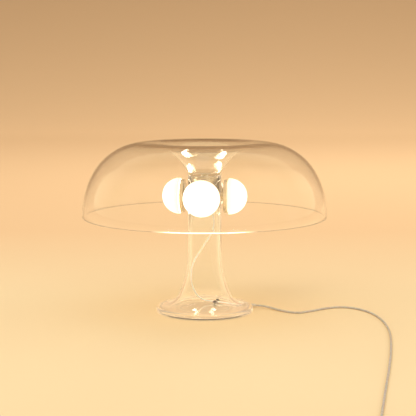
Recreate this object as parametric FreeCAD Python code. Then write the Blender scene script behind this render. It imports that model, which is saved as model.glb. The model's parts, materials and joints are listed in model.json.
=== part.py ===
"""Clear mushroom table lamp with four opal lights on a cross, a thin lead, a switch and a plug-in supply.

Millimetres, +Z up. The origin is on the axis of the stem, on the surface that the base stands on.
The front of the lamp looks along -Y. Each solid is written to parts/NODE.step.
"""
import FreeCAD, Part
import math
import os

Vector = FreeCAD.Vector
UP = Vector(0, 0, 1)
X_AXIS = Vector(1, 0, 0)

# ---- Driving dimensions: base and stem -------------------------------------------------------------
base_radius = 64.0
base_rim_height = 7.0
base_edge_radius = 3.0
base_foot_radius = 0.8
rim_flat = 3.68
stem_radius = 22.0
stem_wall = 3.0
stem_top_z = 181.0
trumpet_radius = 140.0
trumpet_turn = 25.0
plate_top_z = 2.2
plate_thickness = 1.9
plate_edge = 0.3
plate_recess_radius = 32.0
plate_recess_depth = 0.8
plate_clearance = 0.1
ledge_width = 1.7

# ---- Driving dimensions: shade ---------------------------------------------------------------------
shade_radius = 160.0
shade_wall = 3.0
shade_floor_thickness = 2.8
funnel_throat_radius = 5.0
funnel_lean = 35.0
funnel_flank = 18.6
funnel_lip_radius = 42.0
funnel_turn = 85.0
shoulder_radius = 75.0
shoulder_turn = 55.0
side_radius = 109.0
spigot_depth = 1.8
spigot_width = 1.6
spigot_gap = 0.4
seat_gap = 0.1

# ---- Driving dimensions: hub inside the top of the stem --------------------------------------------
hub_gap = 0.3
hub_length = 40.0
hub_bore_radius = 15.5
hub_ledge_radius = 13.0
hub_top_thickness = 9.0
hub_screw_hole_depth = 7.1
hub_shoulder_depth = 2.6
hub_edge = 0.4
hub_groove_inset = 3.4
hub_groove_width = 0.6
hub_groove_depth = 0.3
hub_board_z = 164.4
hub_board_thickness = 1.6
terminal_size = (8.0, 6.0, 4.0)
hub_cover_thickness = 2.0
hub_cover_lip = 1.2
washer_thickness = 1.0
washer_radius = 8.0
retainer_radius = 9.0
retainer_head = 1.6
retainer_shank_radius = 3.0
retainer_shank_depth = 6.5
retainer_slot_width = 1.4
retainer_slot_depth = 0.7
running_clearance = 0.05

# ---- Driving dimensions: the four lights -----------------------------------------------------------
light_z = 153.0
light_turn = -7.0
light_names = ("right", "back", "left", "front")
cup_radius = 22.0
cup_back_x = 26.0
cup_plate = 5.7
cup_edge_fillet = 0.8
cup_ring_radius = 17.0
cup_ring_width = 1.6
cup_ring_depth = 0.3
cup_neck_flare = 0.7
cup_spigot_edge = 0.4
cup_spigot_radius = 20.0
cup_spigot_length = 4.0
cup_wire_space = 3.2
cup_floor_radius = 12.5
cup_wall = 2.0
light_neck_radius = 6.0
light_neck_bore = 3.5
light_neck_start_x = 15.2
dome_radius = 24.0
dome_wall = 2.0
dome_fit = 0.1
led_board_inset = 0.5
led_board_thickness = 1.6
led_chip_size = 2.8
led_chip_height = 0.7
led_chip_ring = 9.5
led_chip_count = 6
board_screw_ring = 14.6
board_screw_head_radius = 1.7
board_screw_head = 1.0
board_screw_shank_radius = 0.9
board_screw_depth = 2.0
wire_radius = 0.6
wire_spacing = 2.2
wire_bend = 4.0
wire_column_x = 11.0

# ---- Driving dimensions: lead, clamp and exit ------------------------------------------------------
lead_radius = 1.25
lead_exit_angle = 15.0
lead_drop_z = 129.0
lead_route = (
    Vector(14.0, 2.0, 115.0),
    Vector(7.4, 0.0, 99.0),
    Vector(-2.4, 0.0, 84.5),
    Vector(-13.4, 0.0, 69.0),
    Vector(-18.2, 1.0, 54.0),
    Vector(-18.4, 4.0, 40.0),
    Vector(-15.5, 11.0, 26.0),
    Vector(-8.0, 23.0, 12.0),
)
clamp_run_in = 10.0
clamp_screw_angle = 63.9225
clamp_screw_gap = 1.28
clamp_boss_radius = 2.6
clamp_boss_height = 2.3
clamp_screw_spacing = 14.0
clamp_bar_width = 6.4
clamp_bar_thickness = 1.5
clamp_edge_fillet = 0.35
clamp_screw_head_radius = 2.1
clamp_screw_head = 1.3
clamp_screw_shank_radius = 1.0
clamp_screw_depth = 3.0
channel_radius = 2.2
channel_length = 26.0
sleeve_inside = 10.0
sleeve_outside = 7.0
sleeve_tip_radius = 1.75
sleeve_ring_count = 3
sleeve_ring_depth = 0.15
hub_outlet_radius = 11.5
hub_outlet_angle = 28.0
grommet_flange_radius = 2.7
grommet_neck_radius = 2.1
grommet_flange = 0.8
floor_gap = 0.05

# ---- Driving dimensions: put-away coil -------------------------------------------------------------
coil_inner_radius = 10.0
coil_pitch = 3.4
coil_layer_pitch = 3.0
coil_layer_quarters = (10, 10, 10, 9)

# ---- Driving dimensions: in-line switch ------------------------------------------------------------
switch_length = 56.0
switch_width = 21.0
switch_height = 14.0
switch_wall = 1.6
switch_corner_radius = 9.0
switch_edge_fillet = 1.2
boot_length = 10.0
boot_inside = 3.0
boot_root_radius = 3.0
boot_tip_radius = 1.8
boot_flange_radius = 3.8
boot_flange = 1.4
boot_rings = 3
boot_groove = 0.35
button_radius = 5.5
button_proud = 2.0
button_gap = 0.3
button_flange_radius = 7.0
button_flange = 1.2
button_edge_fillet = 0.7
button_dish = 0.35
grip_start = 13.0
grip_pitch = 2.4
grip_count = 3
grip_width = 0.8
grip_depth = 0.5
block_size = (15.0, 10.0, 4.2)
spring_radius = 3.0
spring_wire_radius = 0.3
spring_turns = 3
switch_screw_offset = 20.0
switch_screw_radius = 1.3
switch_screw_head_radius = 2.2
switch_screw_head = 1.2
switch_post_radius = 3.0

# ---- Driving dimensions: plug-in supply ------------------------------------------------------------
supply_length = 58.0
supply_width = 38.0
supply_height = 27.0
supply_wall = 2.0
supply_corner_radius = 5.0
supply_cover_depth = 6.0
supply_pad_length = 3.0
supply_pad_size = (32.0, 16.0)
pin_radius = 2.0
pin_length = 19.0
pin_spacing = 18.6
pin_root = 6.0
pin_root_radius = 1.6
supply_boot_length = 13.0
supply_boot_root_radius = 4.0
supply_boot_flange_radius = 5.2
supply_boot_flange = 1.6
supply_boot_rings = 4
supply_boot_groove = 0.4
supply_front_fillet = 1.0
supply_seam_groove = 0.3
supply_pad_fillet = 0.6
vent_length = 12.0
vent_width = 0.9
vent_depth = 0.8
vent_pitch = 2.6
vent_count = 2
vent_middle = (26.0, 6.0)
supply_board_thickness = 1.6
supply_board_height = 6.0
transformer_size = (20.0, 18.0, 13.0)
transformer_place = (23.2, -6.3)
capacitor_radius = 4.0
capacitor_length = 14.0
capacitor_place = (14.5, -8.4)
supply_position = Vector(79.0, -590.0, 0)
supply_angle = 90.0


# ---- General helpers -------------------------------------------------------------------------------
def direction(angle):
    """Unit vector in the XY plane at an angle in degrees."""
    return Vector(math.cos(math.radians(angle)), math.sin(math.radians(angle)), 0)


def side_heading(angle):
    """Unit vector in the XZ plane at an angle in degrees above +X."""
    return Vector(math.cos(math.radians(angle)), 0, math.sin(math.radians(angle)))


def tangent_chain(start, heading, steps, offset=0.0):
    """Chain of tangent lines and arcs in the XZ plane, moved to its left by offset.

    Each step is (length, 0) for a line or (radius, turn) for an arc that turns left for a plus.
    Returns the edges and the point where the moved chain ends.
    """
    edges = []
    point = start + side_heading(heading + 90) * offset
    for size, turn in steps:
        if turn == 0:
            end = point + side_heading(heading) * size
            edges.append(Part.LineSegment(point, end).toShape())
        else:
            side = math.copysign(1, turn)
            radius = size - side * offset
            center = point + side_heading(heading + 90 * side) * radius
            middle = center + side_heading(heading - 90 * side + turn / 2) * radius
            end = center + side_heading(heading - 90 * side + turn) * radius
            edges.append(Part.Arc(point, middle, end).toShape())
            heading += turn
        point = end
    return edges, point


def polyline(points):
    """Straight edges through a list of points."""
    return [Part.LineSegment(a, b).toShape() for a, b in zip(points, points[1:])]


def revolved(edges, axis=UP):
    """Solid made by turning a closed outline about an axis through the origin."""
    face = Part.Face(Part.Wire(Part.__sortEdges__(edges)))
    solid = face.revolve(Vector(0, 0, 0), axis, 360)
    if solid.Volume < 0:
        solid.reverse()
    return solid


def ring_profile(points, axis=UP):
    """Turned solid from (along, radius) pairs: along Z when the axis is up, or else along X."""
    if axis is UP:
        corners = [Vector(radius, 0, along) for along, radius in points]
    else:
        corners = [Vector(along, 0, radius) for along, radius in points]
    return revolved(polyline(corners + corners[:1]), axis)


def cylinder(radius, length, base, axis=UP):
    """Cylinder from its base point along an axis."""
    return Part.makeCylinder(radius, length, base, axis)


def cone(root_radius, tip_radius, length, base, axis):
    """Tapered round from its root along an axis."""
    return Part.makeCone(root_radius, tip_radius, length, base, axis)


def ringed(taper, radii, length, base, axis, count, depth):
    """Tapered round with a row of grooves between its rings.

    The radii are those of its root and its tip. The grooves are even, and as wide as 0.4 of their pitch.
    """
    pitch = length / (count + 1)
    width = 0.4 * pitch
    for index in range(count):
        along = pitch * (index + 0.6)
        middle_radius = radii[0] + (radii[1] - radii[0]) * (along + width / 2) / length
        start = base + axis * along
        groove = cylinder(2 * radii[0], width, start, axis)
        taper = taper.cut(groove.cut(cylinder(middle_radius - depth, width, start, axis)))
    return taper


def rounded_bar(length, width, height, corner_radius, center_z):
    """Upright block with rounded corners in plan, centred on the Z axis."""
    block = Part.makeBox(length, width, height, Vector(-length / 2, -width / 2, center_z - height / 2))
    upright = [edge for edge in block.Edges if abs(edge.tangentAt(edge.FirstParameter).z) > 0.9]
    return block.makeFillet(corner_radius, upright)


def edges_at_height(shape, height):
    """Edges of a shape that lie flat at one height."""
    box_of = [(edge, edge.BoundBox) for edge in shape.Edges]
    return [edge for edge, box in box_of if abs(box.ZMin - height) < 1e-4 and abs(box.ZMax - height) < 1e-4]


def placed(shape, position, angle):
    """Copy of a shape turned about Z by an angle and then moved to a position."""
    copy = shape.copy()
    copy.rotate(Vector(0, 0, 0), UP, angle)
    copy.translate(position)
    return copy


# ---- Tubes along runs and arcs ---------------------------------------------------------------------
def corner_arc(start, corner, end):
    """Arc from start to end whose tangents meet at the corner, which is equally far from both."""
    half = (start - corner).getAngle(end - corner) / 2
    reach = (start - corner).Length
    radius = reach * math.tan(half)
    inward = ((start + end) * 0.5 - corner).normalize()
    middle = corner + inward * (reach / math.cos(half) - radius)
    return Part.Arc(start, middle, end).toShape(), radius


def route_edges(points):
    """Runs joined by tangent arcs, each arc as large as 0.45 of its shorter run allows."""
    edges = []
    radii = []
    last = points[0]
    for before, corner, after in zip(points, points[1:], points[2:]):
        reach = 0.45 * min((corner - before).Length, (after - corner).Length)
        start = corner + (before - corner).normalize() * reach
        end = corner + (after - corner).normalize() * reach
        arc, radius = corner_arc(start, corner, end)
        edges.append(Part.LineSegment(last, start).toShape())
        edges.append(arc)
        radii.append(radius)
        last = end
    edges.append(Part.LineSegment(last, points[-1]).toShape())
    return edges, radii


def tube(edges, radius):
    """Round tube swept along tangent edges."""
    wire = Part.Wire(edges)
    first = wire.OrderedEdges[0]
    start = first.valueAt(first.FirstParameter)
    tangent = first.tangentAt(first.FirstParameter)
    profile = Part.Wire(Part.makeCircle(radius, start, tangent))
    solid = Part.Solid(wire.makePipeShell([profile], True, False))
    if solid.Volume < 0:
        solid.reverse()
    return solid


def routed_tube(name, points, radius):
    """Tube along a hand-chosen route, with its radii, length and volume printed."""
    edges, radii = route_edges(points)
    solid = tube(edges, radius)
    length = sum(edge.Length for edge in edges)
    ratio = solid.Volume / (math.pi * radius ** 2 * length)
    print(f"{name}: length {length:.1f}, volume ratio {ratio:.5f}")
    print(f"{name}: radii " + " ".join(f"{value:.0f}" for value in radii))
    return solid, length


# ---- Base, plate and stem --------------------------------------------------------------------------
stem_bore = stem_radius - stem_wall
trumpet_drop = trumpet_radius * math.sin(math.radians(trumpet_turn))
trumpet_reach = trumpet_radius * (1 - math.cos(math.radians(trumpet_turn)))
foot_turn = 90 - trumpet_turn
sweep_end_radius = base_radius - base_edge_radius - rim_flat
foot_sweep_radius = (sweep_end_radius - stem_radius - trumpet_reach) / math.sin(math.radians(foot_turn))
foot_sweep_drop = foot_sweep_radius * (1 - math.cos(math.radians(foot_turn)))
stem_straight = stem_top_z - base_rim_height - trumpet_drop - foot_sweep_drop
rabbet_radius = sweep_end_radius + ledge_width
plate_radius = rabbet_radius - plate_clearance
exit_point = direction(lead_exit_angle) * base_radius
lead_z = plate_top_z + lead_radius
clamp_bar_top_z = plate_top_z + clamp_boss_height + clamp_bar_thickness


def clamp_place():
    """Middle of the clamp: its outer screw clears the foot's underside, its bar is square to the lead."""
    underside_radius = foot_sweep_radius + stem_wall
    head_rise = clamp_bar_top_z + clamp_screw_head - (base_rim_height - stem_wall)
    low_reach = math.sqrt(underside_radius ** 2 - (underside_radius - head_rise) ** 2)
    screw_reach = sweep_end_radius - low_reach - clamp_screw_gap - clamp_screw_head_radius
    out = direction(clamp_screw_angle) * screw_reach - exit_point
    half_spacing = clamp_screw_spacing / 2
    bearing = math.atan2(out.y, out.x) + math.asin(half_spacing / out.Length)
    return exit_point + direction(math.degrees(bearing)) * math.sqrt(out.Length ** 2 - half_spacing ** 2)


clamp_center = clamp_place()
exit_heading = (exit_point - clamp_center).normalize()


def exit_line(distance):
    """Point on the lead's straight way out, measured outwards from the rim of the base."""
    return exit_point + exit_heading * distance + UP * lead_z


def lead_channel():
    """Round channel that the lead takes through the foot of the base."""
    return cylinder(channel_radius, channel_length + sleeve_outside, exit_line(-channel_length), exit_heading)


def make_stem_base():
    """One-piece trumpet stem and round foot, with the light holes and the lead's channel."""
    start = Vector(stem_radius, 0, stem_top_z)
    sweep = [(stem_straight, 0), (trumpet_radius, trumpet_turn), (foot_sweep_radius, foot_turn)]
    rim_drop = base_rim_height - base_edge_radius - base_foot_radius
    rim = [(rim_flat, 0), (base_edge_radius, -90), (rim_drop, 0), (base_foot_radius, -90)]
    outer, outer_end = tangent_chain(start, -90, sweep + rim)
    inner, inner_end = tangent_chain(start, -90, sweep, -stem_wall)
    under = [
        inner_end,
        Vector(sweep_end_radius, 0, plate_top_z),
        Vector(rabbet_radius, 0, plate_top_z),
        Vector(rabbet_radius, 0, 0),
        outer_end,
    ]
    top = [start, Vector(stem_bore, 0, stem_top_z)]
    solid = revolved(outer + inner + polyline(under) + polyline(top))
    for name, angle in light_angles():
        base = direction(angle) * (stem_bore / 2) + UP * light_z
        solid = solid.cut(cylinder(light_neck_radius + hub_gap, stem_radius, base, direction(angle)))
    return solid.cut(lead_channel())


def light_angles():
    """Names and plan angles of the four lights on their cross."""
    return [(name, light_turn + 90 * index) for index, name in enumerate(light_names)]


def clamp_across():
    """Unit vector along the clamp bar, square to the lead."""
    return Vector(-exit_heading.y, exit_heading.x, 0)


def clamp_screw_places():
    """The two screw axes of the clamp."""
    return [clamp_center + clamp_across() * (side * clamp_screw_spacing / 2) for side in (-1, 1)]


def make_base_plate():
    """Clear disc under the foot, with a shallow round recess, two clamp bosses and the lead's groove."""
    bottom_z = plate_top_z - plate_thickness
    plate = cylinder(plate_radius, plate_thickness, UP * bottom_z)
    plate = plate.makeChamfer(plate_edge, edges_at_height(plate, plate_top_z))
    plate = plate.cut(cylinder(plate_recess_radius, plate_recess_depth, UP * bottom_z))
    for place in clamp_screw_places():
        plate = plate.fuse(cylinder(clamp_boss_radius, clamp_boss_height, place + UP * plate_top_z))
    hole_bottom = clamp_bar_top_z - clamp_screw_depth
    for place in clamp_screw_places():
        plate = plate.cut(cylinder(clamp_screw_shank_radius, clamp_screw_depth, place + UP * hole_bottom))
    return plate.cut(lead_channel()).removeSplitter()


def make_cord_clamp():
    """Saddle bar over the lead, rounded at its ends, with a shallow groove and two screw holes."""
    bar_z = plate_top_z + clamp_boss_height
    length = clamp_screw_spacing + clamp_bar_width
    bar = rounded_bar(length, clamp_bar_width, clamp_bar_thickness, clamp_bar_width / 2 - 0.01,
                      bar_z + clamp_bar_thickness / 2)
    bar = bar.makeFillet(clamp_edge_fillet, edges_at_height(bar, bar_z + clamp_bar_thickness))
    across_angle = math.degrees(math.atan2(clamp_across().y, clamp_across().x))
    bar = placed(bar, clamp_center, across_angle)
    groove_start = clamp_center + UP * lead_z - exit_heading * clamp_bar_width
    bar = bar.cut(cylinder(lead_radius + running_clearance, 2 * clamp_bar_width, groove_start, exit_heading))
    for place in clamp_screw_places():
        hole_radius = clamp_screw_shank_radius + running_clearance
        bar = bar.cut(cylinder(hole_radius, 2 * clamp_bar_thickness, place + UP * bar_z))
    return bar


def make_clamp_screws():
    """Two small dark pan-head screws."""
    screws = []
    for place in clamp_screw_places():
        head = cylinder(clamp_screw_head_radius, clamp_screw_head, place + UP * clamp_bar_top_z)
        top_edges = edges_at_height(head, clamp_bar_top_z + clamp_screw_head)
        head = head.makeFillet(clamp_screw_head * 0.45, top_edges)
        shank_start = place + UP * (clamp_bar_top_z - clamp_screw_depth)
        shank = cylinder(clamp_screw_shank_radius, clamp_screw_depth, shank_start)
        screws.append(head.fuse(shank).removeSplitter())
    return Part.makeCompound(screws)


def make_cord_sleeve():
    """Soft sleeve that guides the lead through the rim and tapers outside it."""
    outer_radius = channel_radius - running_clearance
    inside = cylinder(outer_radius, sleeve_inside, exit_line(-sleeve_inside), exit_heading)
    outside = cone(outer_radius, sleeve_tip_radius, sleeve_outside, exit_line(0), exit_heading)
    outside = ringed(outside, (outer_radius, sleeve_tip_radius), sleeve_outside, exit_line(0), exit_heading,
                     sleeve_ring_count, sleeve_ring_depth)
    bore = cylinder(lead_radius, sleeve_inside + sleeve_outside, exit_line(-sleeve_inside), exit_heading)
    return inside.fuse(outside).cut(bore)


# ---- Shade -----------------------------------------------------------------------------------------
shade_seat_z = stem_top_z + seat_gap
shade_floor_top_z = shade_seat_z + shade_floor_thickness
side_turn = 180 - funnel_turn - shoulder_turn - 2 * (90 - funnel_turn)


def crest_radius():
    """Radius of the gentle crest arc, worked out so that the side ends at the shade's radius."""
    lean = math.radians(90 - funnel_turn)
    flank_lean = math.radians(funnel_lean)
    shoulder_end = math.radians(90 - side_turn)
    funnel_reach = (funnel_throat_radius * (1 - math.cos(flank_lean)) + funnel_flank * math.sin(flank_lean)
                    + funnel_lip_radius * (math.cos(flank_lean) - math.sin(lean)))
    shoulder_reach = shoulder_radius * (math.sin(shoulder_end) - math.sin(lean))
    side_reach = side_radius * (1 - math.sin(shoulder_end))
    left_over = shade_radius - shade_wall - stem_radius - funnel_reach - shoulder_reach - side_reach
    return left_over / (2 * math.sin(lean))


def make_shade():
    """Mushroom shade: side, shoulder and crest run on into the funnel's lip, flank, throat and floor."""
    start = Vector(stem_radius, 0, shade_floor_top_z)
    steps = [
        (funnel_throat_radius, -funnel_lean),
        (funnel_flank, 0),
        (funnel_lip_radius, funnel_lean - funnel_turn),
        (crest_radius(), -2 * (90 - funnel_turn)),
        (shoulder_radius, -shoulder_turn),
        (side_radius, -side_turn),
    ]
    inner, inner_end = tangent_chain(start, 90, steps)
    outer, outer_end = tangent_chain(start, 90, steps, shade_wall)
    lip_bottom = (inner_end + outer_end) * 0.5 - UP * (shade_wall / 2)
    lip = Part.Arc(inner_end, lip_bottom, outer_end).toShape()
    hole_radius = retainer_shank_radius + hub_gap
    spigot_outer = stem_bore - spigot_gap
    floor = [
        Vector(stem_radius - shade_wall, 0, shade_floor_top_z),
        Vector(hole_radius, 0, shade_floor_top_z),
        Vector(hole_radius, 0, shade_seat_z),
        Vector(spigot_outer - spigot_width, 0, shade_seat_z),
        Vector(spigot_outer - spigot_width, 0, shade_seat_z - spigot_depth),
        Vector(spigot_outer, 0, shade_seat_z - spigot_depth),
        Vector(spigot_outer, 0, shade_seat_z),
        Vector(stem_radius, 0, shade_seat_z),
        start,
    ]
    return revolved(inner + outer + [lip] + polyline(floor))


def make_retaining_screw():
    """Low polished disc screw that holds the shade's floor to the hub, with a coin slot."""
    head_z = shade_floor_top_z + seat_gap
    head = cylinder(retainer_radius, retainer_head, UP * head_z)
    head = head.makeFillet(retainer_head * 0.35, edges_at_height(head, head_z + retainer_head))
    slot = Part.makeBox(2 * retainer_radius, retainer_slot_width, retainer_slot_depth,
                        Vector(-retainer_radius, -retainer_slot_width / 2,
                               head_z + retainer_head - retainer_slot_depth))
    shank_bottom = hub_top_z - retainer_shank_depth
    shank = cylinder(retainer_shank_radius, head_z - shank_bottom, UP * shank_bottom)
    return head.cut(slot).fuse(shank).removeSplitter()


def make_shade_washer():
    """Soft washer between the hub and the floor of the shade."""
    thickness = shade_seat_z - seat_gap - hub_top_z
    washer = cylinder(washer_radius, thickness, UP * hub_top_z)
    return washer.cut(cylinder(retainer_shank_radius + hub_gap, thickness, UP * hub_top_z))


# ---- Hub -------------------------------------------------------------------------------------------
hub_radius = stem_bore - hub_gap
hub_top_z = stem_top_z - washer_thickness
hub_bottom_z = hub_top_z - hub_length
hub_board_top_z = hub_board_z + hub_board_thickness


def make_light_hub():
    """Polished round hub: a shouldered top with a blind screw hole, a stepped bore and four side holes."""
    shoulder_radius_top = stem_bore - spigot_gap - spigot_width - hub_gap
    shoulder_z = hub_top_z - hub_shoulder_depth
    screw_hole_radius = retainer_shank_radius + running_clearance
    profile = [
        (hub_bottom_z, hub_bore_radius),
        (hub_bottom_z, hub_radius),
        *hub_groove(hub_bottom_z + hub_groove_inset - hub_groove_width),
        *hub_groove(shoulder_z - hub_groove_inset),
        (shoulder_z - hub_edge, hub_radius),
        (shoulder_z, hub_radius - hub_edge),
        (shoulder_z, shoulder_radius_top),
        (hub_top_z - hub_edge, shoulder_radius_top),
        (hub_top_z, shoulder_radius_top - hub_edge),
        (hub_top_z, screw_hole_radius),
        (hub_top_z - hub_screw_hole_depth, screw_hole_radius),
        (hub_top_z - hub_screw_hole_depth, 0),
        (hub_top_z - hub_top_thickness, 0),
        (hub_top_z - hub_top_thickness, hub_ledge_radius),
        (hub_board_top_z, hub_ledge_radius),
        (hub_board_top_z, hub_bore_radius),
    ]
    hub = ring_profile(profile)
    for name, angle in light_angles():
        base = direction(angle) * (hub_bore_radius / 2) + UP * light_z
        hub = hub.cut(cylinder(light_neck_radius, hub_radius, base, direction(angle)))
    return hub


def hub_groove(start_z):
    """Outline points of one turned groove in the side of the hub."""
    floor_radius = hub_radius - hub_groove_depth
    return [
        (start_z, hub_radius),
        (start_z, floor_radius),
        (start_z + hub_groove_width, floor_radius),
        (start_z + hub_groove_width, hub_radius),
    ]


def hub_outlet():
    """Axis of the lead's outlet in the hub's cover."""
    return direction(hub_outlet_angle) * hub_outlet_radius


def make_hub_cover():
    """Disc that closes the hub from below, with a lip inside the bore and a hole for the grommet."""
    cover = cylinder(hub_radius, hub_cover_thickness, UP * (hub_bottom_z - hub_cover_thickness))
    lip_radius = hub_bore_radius - running_clearance
    lip = cylinder(lip_radius, hub_cover_thickness, UP * hub_bottom_z)
    lip = lip.cut(cylinder(lip_radius - hub_cover_lip, hub_cover_thickness, UP * hub_bottom_z))
    start = hub_outlet() + UP * (hub_bottom_z - 1.5 * hub_cover_thickness)
    return cover.fuse(lip).cut(cylinder(grommet_neck_radius, 3 * hub_cover_thickness, start))


def make_lead_grommet():
    """Soft grommet in the hub's cover, flanged on both sides."""
    bottom = hub_bottom_z - hub_cover_thickness
    profile = [
        (bottom - grommet_flange, lead_radius),
        (bottom - grommet_flange, grommet_flange_radius),
        (bottom, grommet_flange_radius),
        (bottom, grommet_neck_radius),
        (hub_bottom_z, grommet_neck_radius),
        (hub_bottom_z, grommet_flange_radius),
        (hub_bottom_z + grommet_flange, grommet_flange_radius),
        (hub_bottom_z + grommet_flange, lead_radius),
    ]
    return placed(ring_profile(profile), hub_outlet(), 0)


def make_hub_board():
    """Round distribution board under the hub's ledge, with its terminal block."""
    board = cylinder(hub_bore_radius - hub_gap, hub_board_thickness, UP * hub_board_z)
    length, width, height = terminal_size
    terminal = Part.makeBox(length, width, height, Vector(-length / 2, -width / 2, hub_board_top_z))
    return board.fuse(terminal)


# ---- Lights, made along +X and then turned to their places -----------------------------------------
cup_front_x = cup_back_x + cup_plate
spigot_end_x = cup_front_x + cup_spigot_length
board_seat_x = cup_front_x - led_board_inset
dome_seat_x = cup_front_x + seat_gap


def light_solid(shape, angle):
    """A light's piece, lifted to the lights' height and turned to its arm of the cross."""
    return placed(shape, UP * light_z, angle)


def make_light_cup():
    """Polished cup with its spigot, board seat, wire space and hollow neck."""
    spigot_bore = cup_spigot_radius - cup_wall
    floor_x = board_seat_x - cup_wire_space
    profile = [
        (light_neck_start_x, light_neck_bore),
        (light_neck_start_x, light_neck_radius),
        (cup_back_x - cup_neck_flare, light_neck_radius),
        (cup_back_x, light_neck_radius + cup_neck_flare),
        (cup_back_x, cup_ring_radius),
        (cup_back_x + cup_ring_depth, cup_ring_radius),
        (cup_back_x + cup_ring_depth, cup_ring_radius + cup_ring_width),
        (cup_back_x, cup_ring_radius + cup_ring_width),
        (cup_back_x, cup_radius),
        (cup_front_x, cup_radius),
        (cup_front_x, cup_spigot_radius),
        (spigot_end_x - cup_spigot_edge, cup_spigot_radius),
        (spigot_end_x, cup_spigot_radius - cup_spigot_edge),
        (spigot_end_x, spigot_bore),
        (board_seat_x, spigot_bore),
        (board_seat_x, cup_floor_radius),
        (floor_x, cup_floor_radius),
        (floor_x, light_neck_bore),
    ]
    cup = ring_profile(profile, X_AXIS)
    rims = [edge for edge in cup.Edges if abs(edge.BoundBox.ZMax - cup_radius) < 1e-3
            and edge.BoundBox.XLength < 1e-3]
    cup = cup.makeFillet(cup_edge_fillet, rims)
    for place in board_screw_places():
        cup = cup.cut(cylinder(board_screw_shank_radius, board_screw_depth,
                               place - X_AXIS * board_screw_depth, X_AXIS))
    return cup


def board_screw_places():
    """Two screw axes on the LED board, at the board's seat."""
    return [Vector(board_seat_x, side * board_screw_ring, 0) for side in (-1, 1)]


def make_opal_dome():
    """Opal hemisphere with a thick lip whose bore slips over the cup's spigot."""
    inner_radius = dome_radius - dome_wall
    lip_bore = cup_spigot_radius + dome_fit
    lip_end = cup_spigot_length + dome_fit
    lip_meet = math.sqrt(inner_radius ** 2 - lip_end ** 2)
    diagonal = math.sqrt(0.5)
    inner_lean = (math.asin(lip_end / inner_radius) + math.pi / 2) / 2
    seat = Vector(dome_seat_x, 0, 0)
    outer = Part.Arc(seat + Vector(0, 0, dome_radius),
                     seat + Vector(diagonal, 0, diagonal) * dome_radius,
                     seat + Vector(dome_radius, 0, 0)).toShape()
    inner = Part.Arc(seat + Vector(lip_end, 0, lip_meet),
                     seat + Vector(math.sin(inner_lean), 0, math.cos(inner_lean)) * inner_radius,
                     seat + Vector(inner_radius, 0, 0)).toShape()
    lip = polyline([seat + Vector(lip_end, 0, lip_meet), seat + Vector(lip_end, 0, lip_bore),
                    seat + Vector(0, 0, lip_bore), seat + Vector(0, 0, dome_radius)])
    tip = polyline([seat + Vector(dome_radius, 0, 0), seat + Vector(inner_radius, 0, 0)])
    return revolved([outer, inner] + lip + tip, X_AXIS)


def make_led_board():
    """Round aluminium-core board with a ring of LED chips round one in the middle."""
    radius = cup_spigot_radius - cup_wall - dome_fit
    board = cylinder(radius, led_board_thickness, X_AXIS * board_seat_x, X_AXIS)
    for place in board_screw_places():
        hole_radius = board_screw_shank_radius + running_clearance
        board = board.cut(cylinder(hole_radius, led_board_thickness, place, X_AXIS))
    for hole_y in (-wire_spacing / 2, wire_spacing / 2):
        board = board.cut(cylinder(wire_radius, led_board_thickness,
                                   Vector(board_seat_x, hole_y, -board_screw_ring / 3), X_AXIS))
    chip = Part.makeBox(led_chip_height, led_chip_size, led_chip_size,
                        Vector(board_seat_x + led_board_thickness, -led_chip_size / 2, -led_chip_size / 2))
    chips = [chip]
    for index in range(led_chip_count):
        turn = math.radians(360 / led_chip_count * index + 30)
        ring_chip = chip.copy()
        ring_chip.translate(Vector(0, math.cos(turn), math.sin(turn)) * led_chip_ring)
        chips.append(ring_chip)
    return board.fuse(chips).removeSplitter()


def make_board_screws():
    """Pan-head screws of all four LED boards."""
    screws = []
    head_x = board_seat_x + led_board_thickness
    for place in board_screw_places():
        head = cylinder(board_screw_head_radius, board_screw_head, Vector(head_x, place.y, 0), X_AXIS)
        shank_start = Vector(board_seat_x - board_screw_depth, place.y, 0)
        shank_length = board_screw_depth + led_board_thickness
        shank = cylinder(board_screw_shank_radius, shank_length, shank_start, X_AXIS)
        screws.append(head.fuse(shank).removeSplitter())
    return [light_solid(screw, angle) for name, angle in light_angles() for screw in screws]


def make_light_wires():
    """Wire pairs from the distribution board through the necks to the LED boards."""
    wires = []
    for side in (-1, 1):
        y = side * wire_spacing / 2
        points_z = hub_board_z - light_z
        bend = Vector(wire_column_x, y, 0)
        start = Vector(board_seat_x, y, 0)
        arc, radius = corner_arc(bend + X_AXIS * wire_bend, bend, bend + UP * wire_bend)
        edges = [
            Part.LineSegment(start, bend + X_AXIS * wire_bend).toShape(),
            arc,
            Part.LineSegment(bend + UP * wire_bend, bend + UP * points_z).toShape(),
        ]
        wires.append(tube(edges, wire_radius))
    return [light_solid(wire, angle) for name, angle in light_angles() for wire in wires]


# ---- Lead inside the lamp --------------------------------------------------------------------------
def make_inner_lead():
    """Lead from the distribution board down the stem, under the clamp and out to the sleeve's tip."""
    outlet = hub_outlet()
    points = [
        outlet + UP * hub_board_z,
        outlet + UP * lead_drop_z,
        *lead_route,
        clamp_center - exit_heading * clamp_run_in + UP * lead_z,
        exit_line(sleeve_outside),
    ]
    return routed_tube("inner_lead", points, lead_radius)[0]


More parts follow.
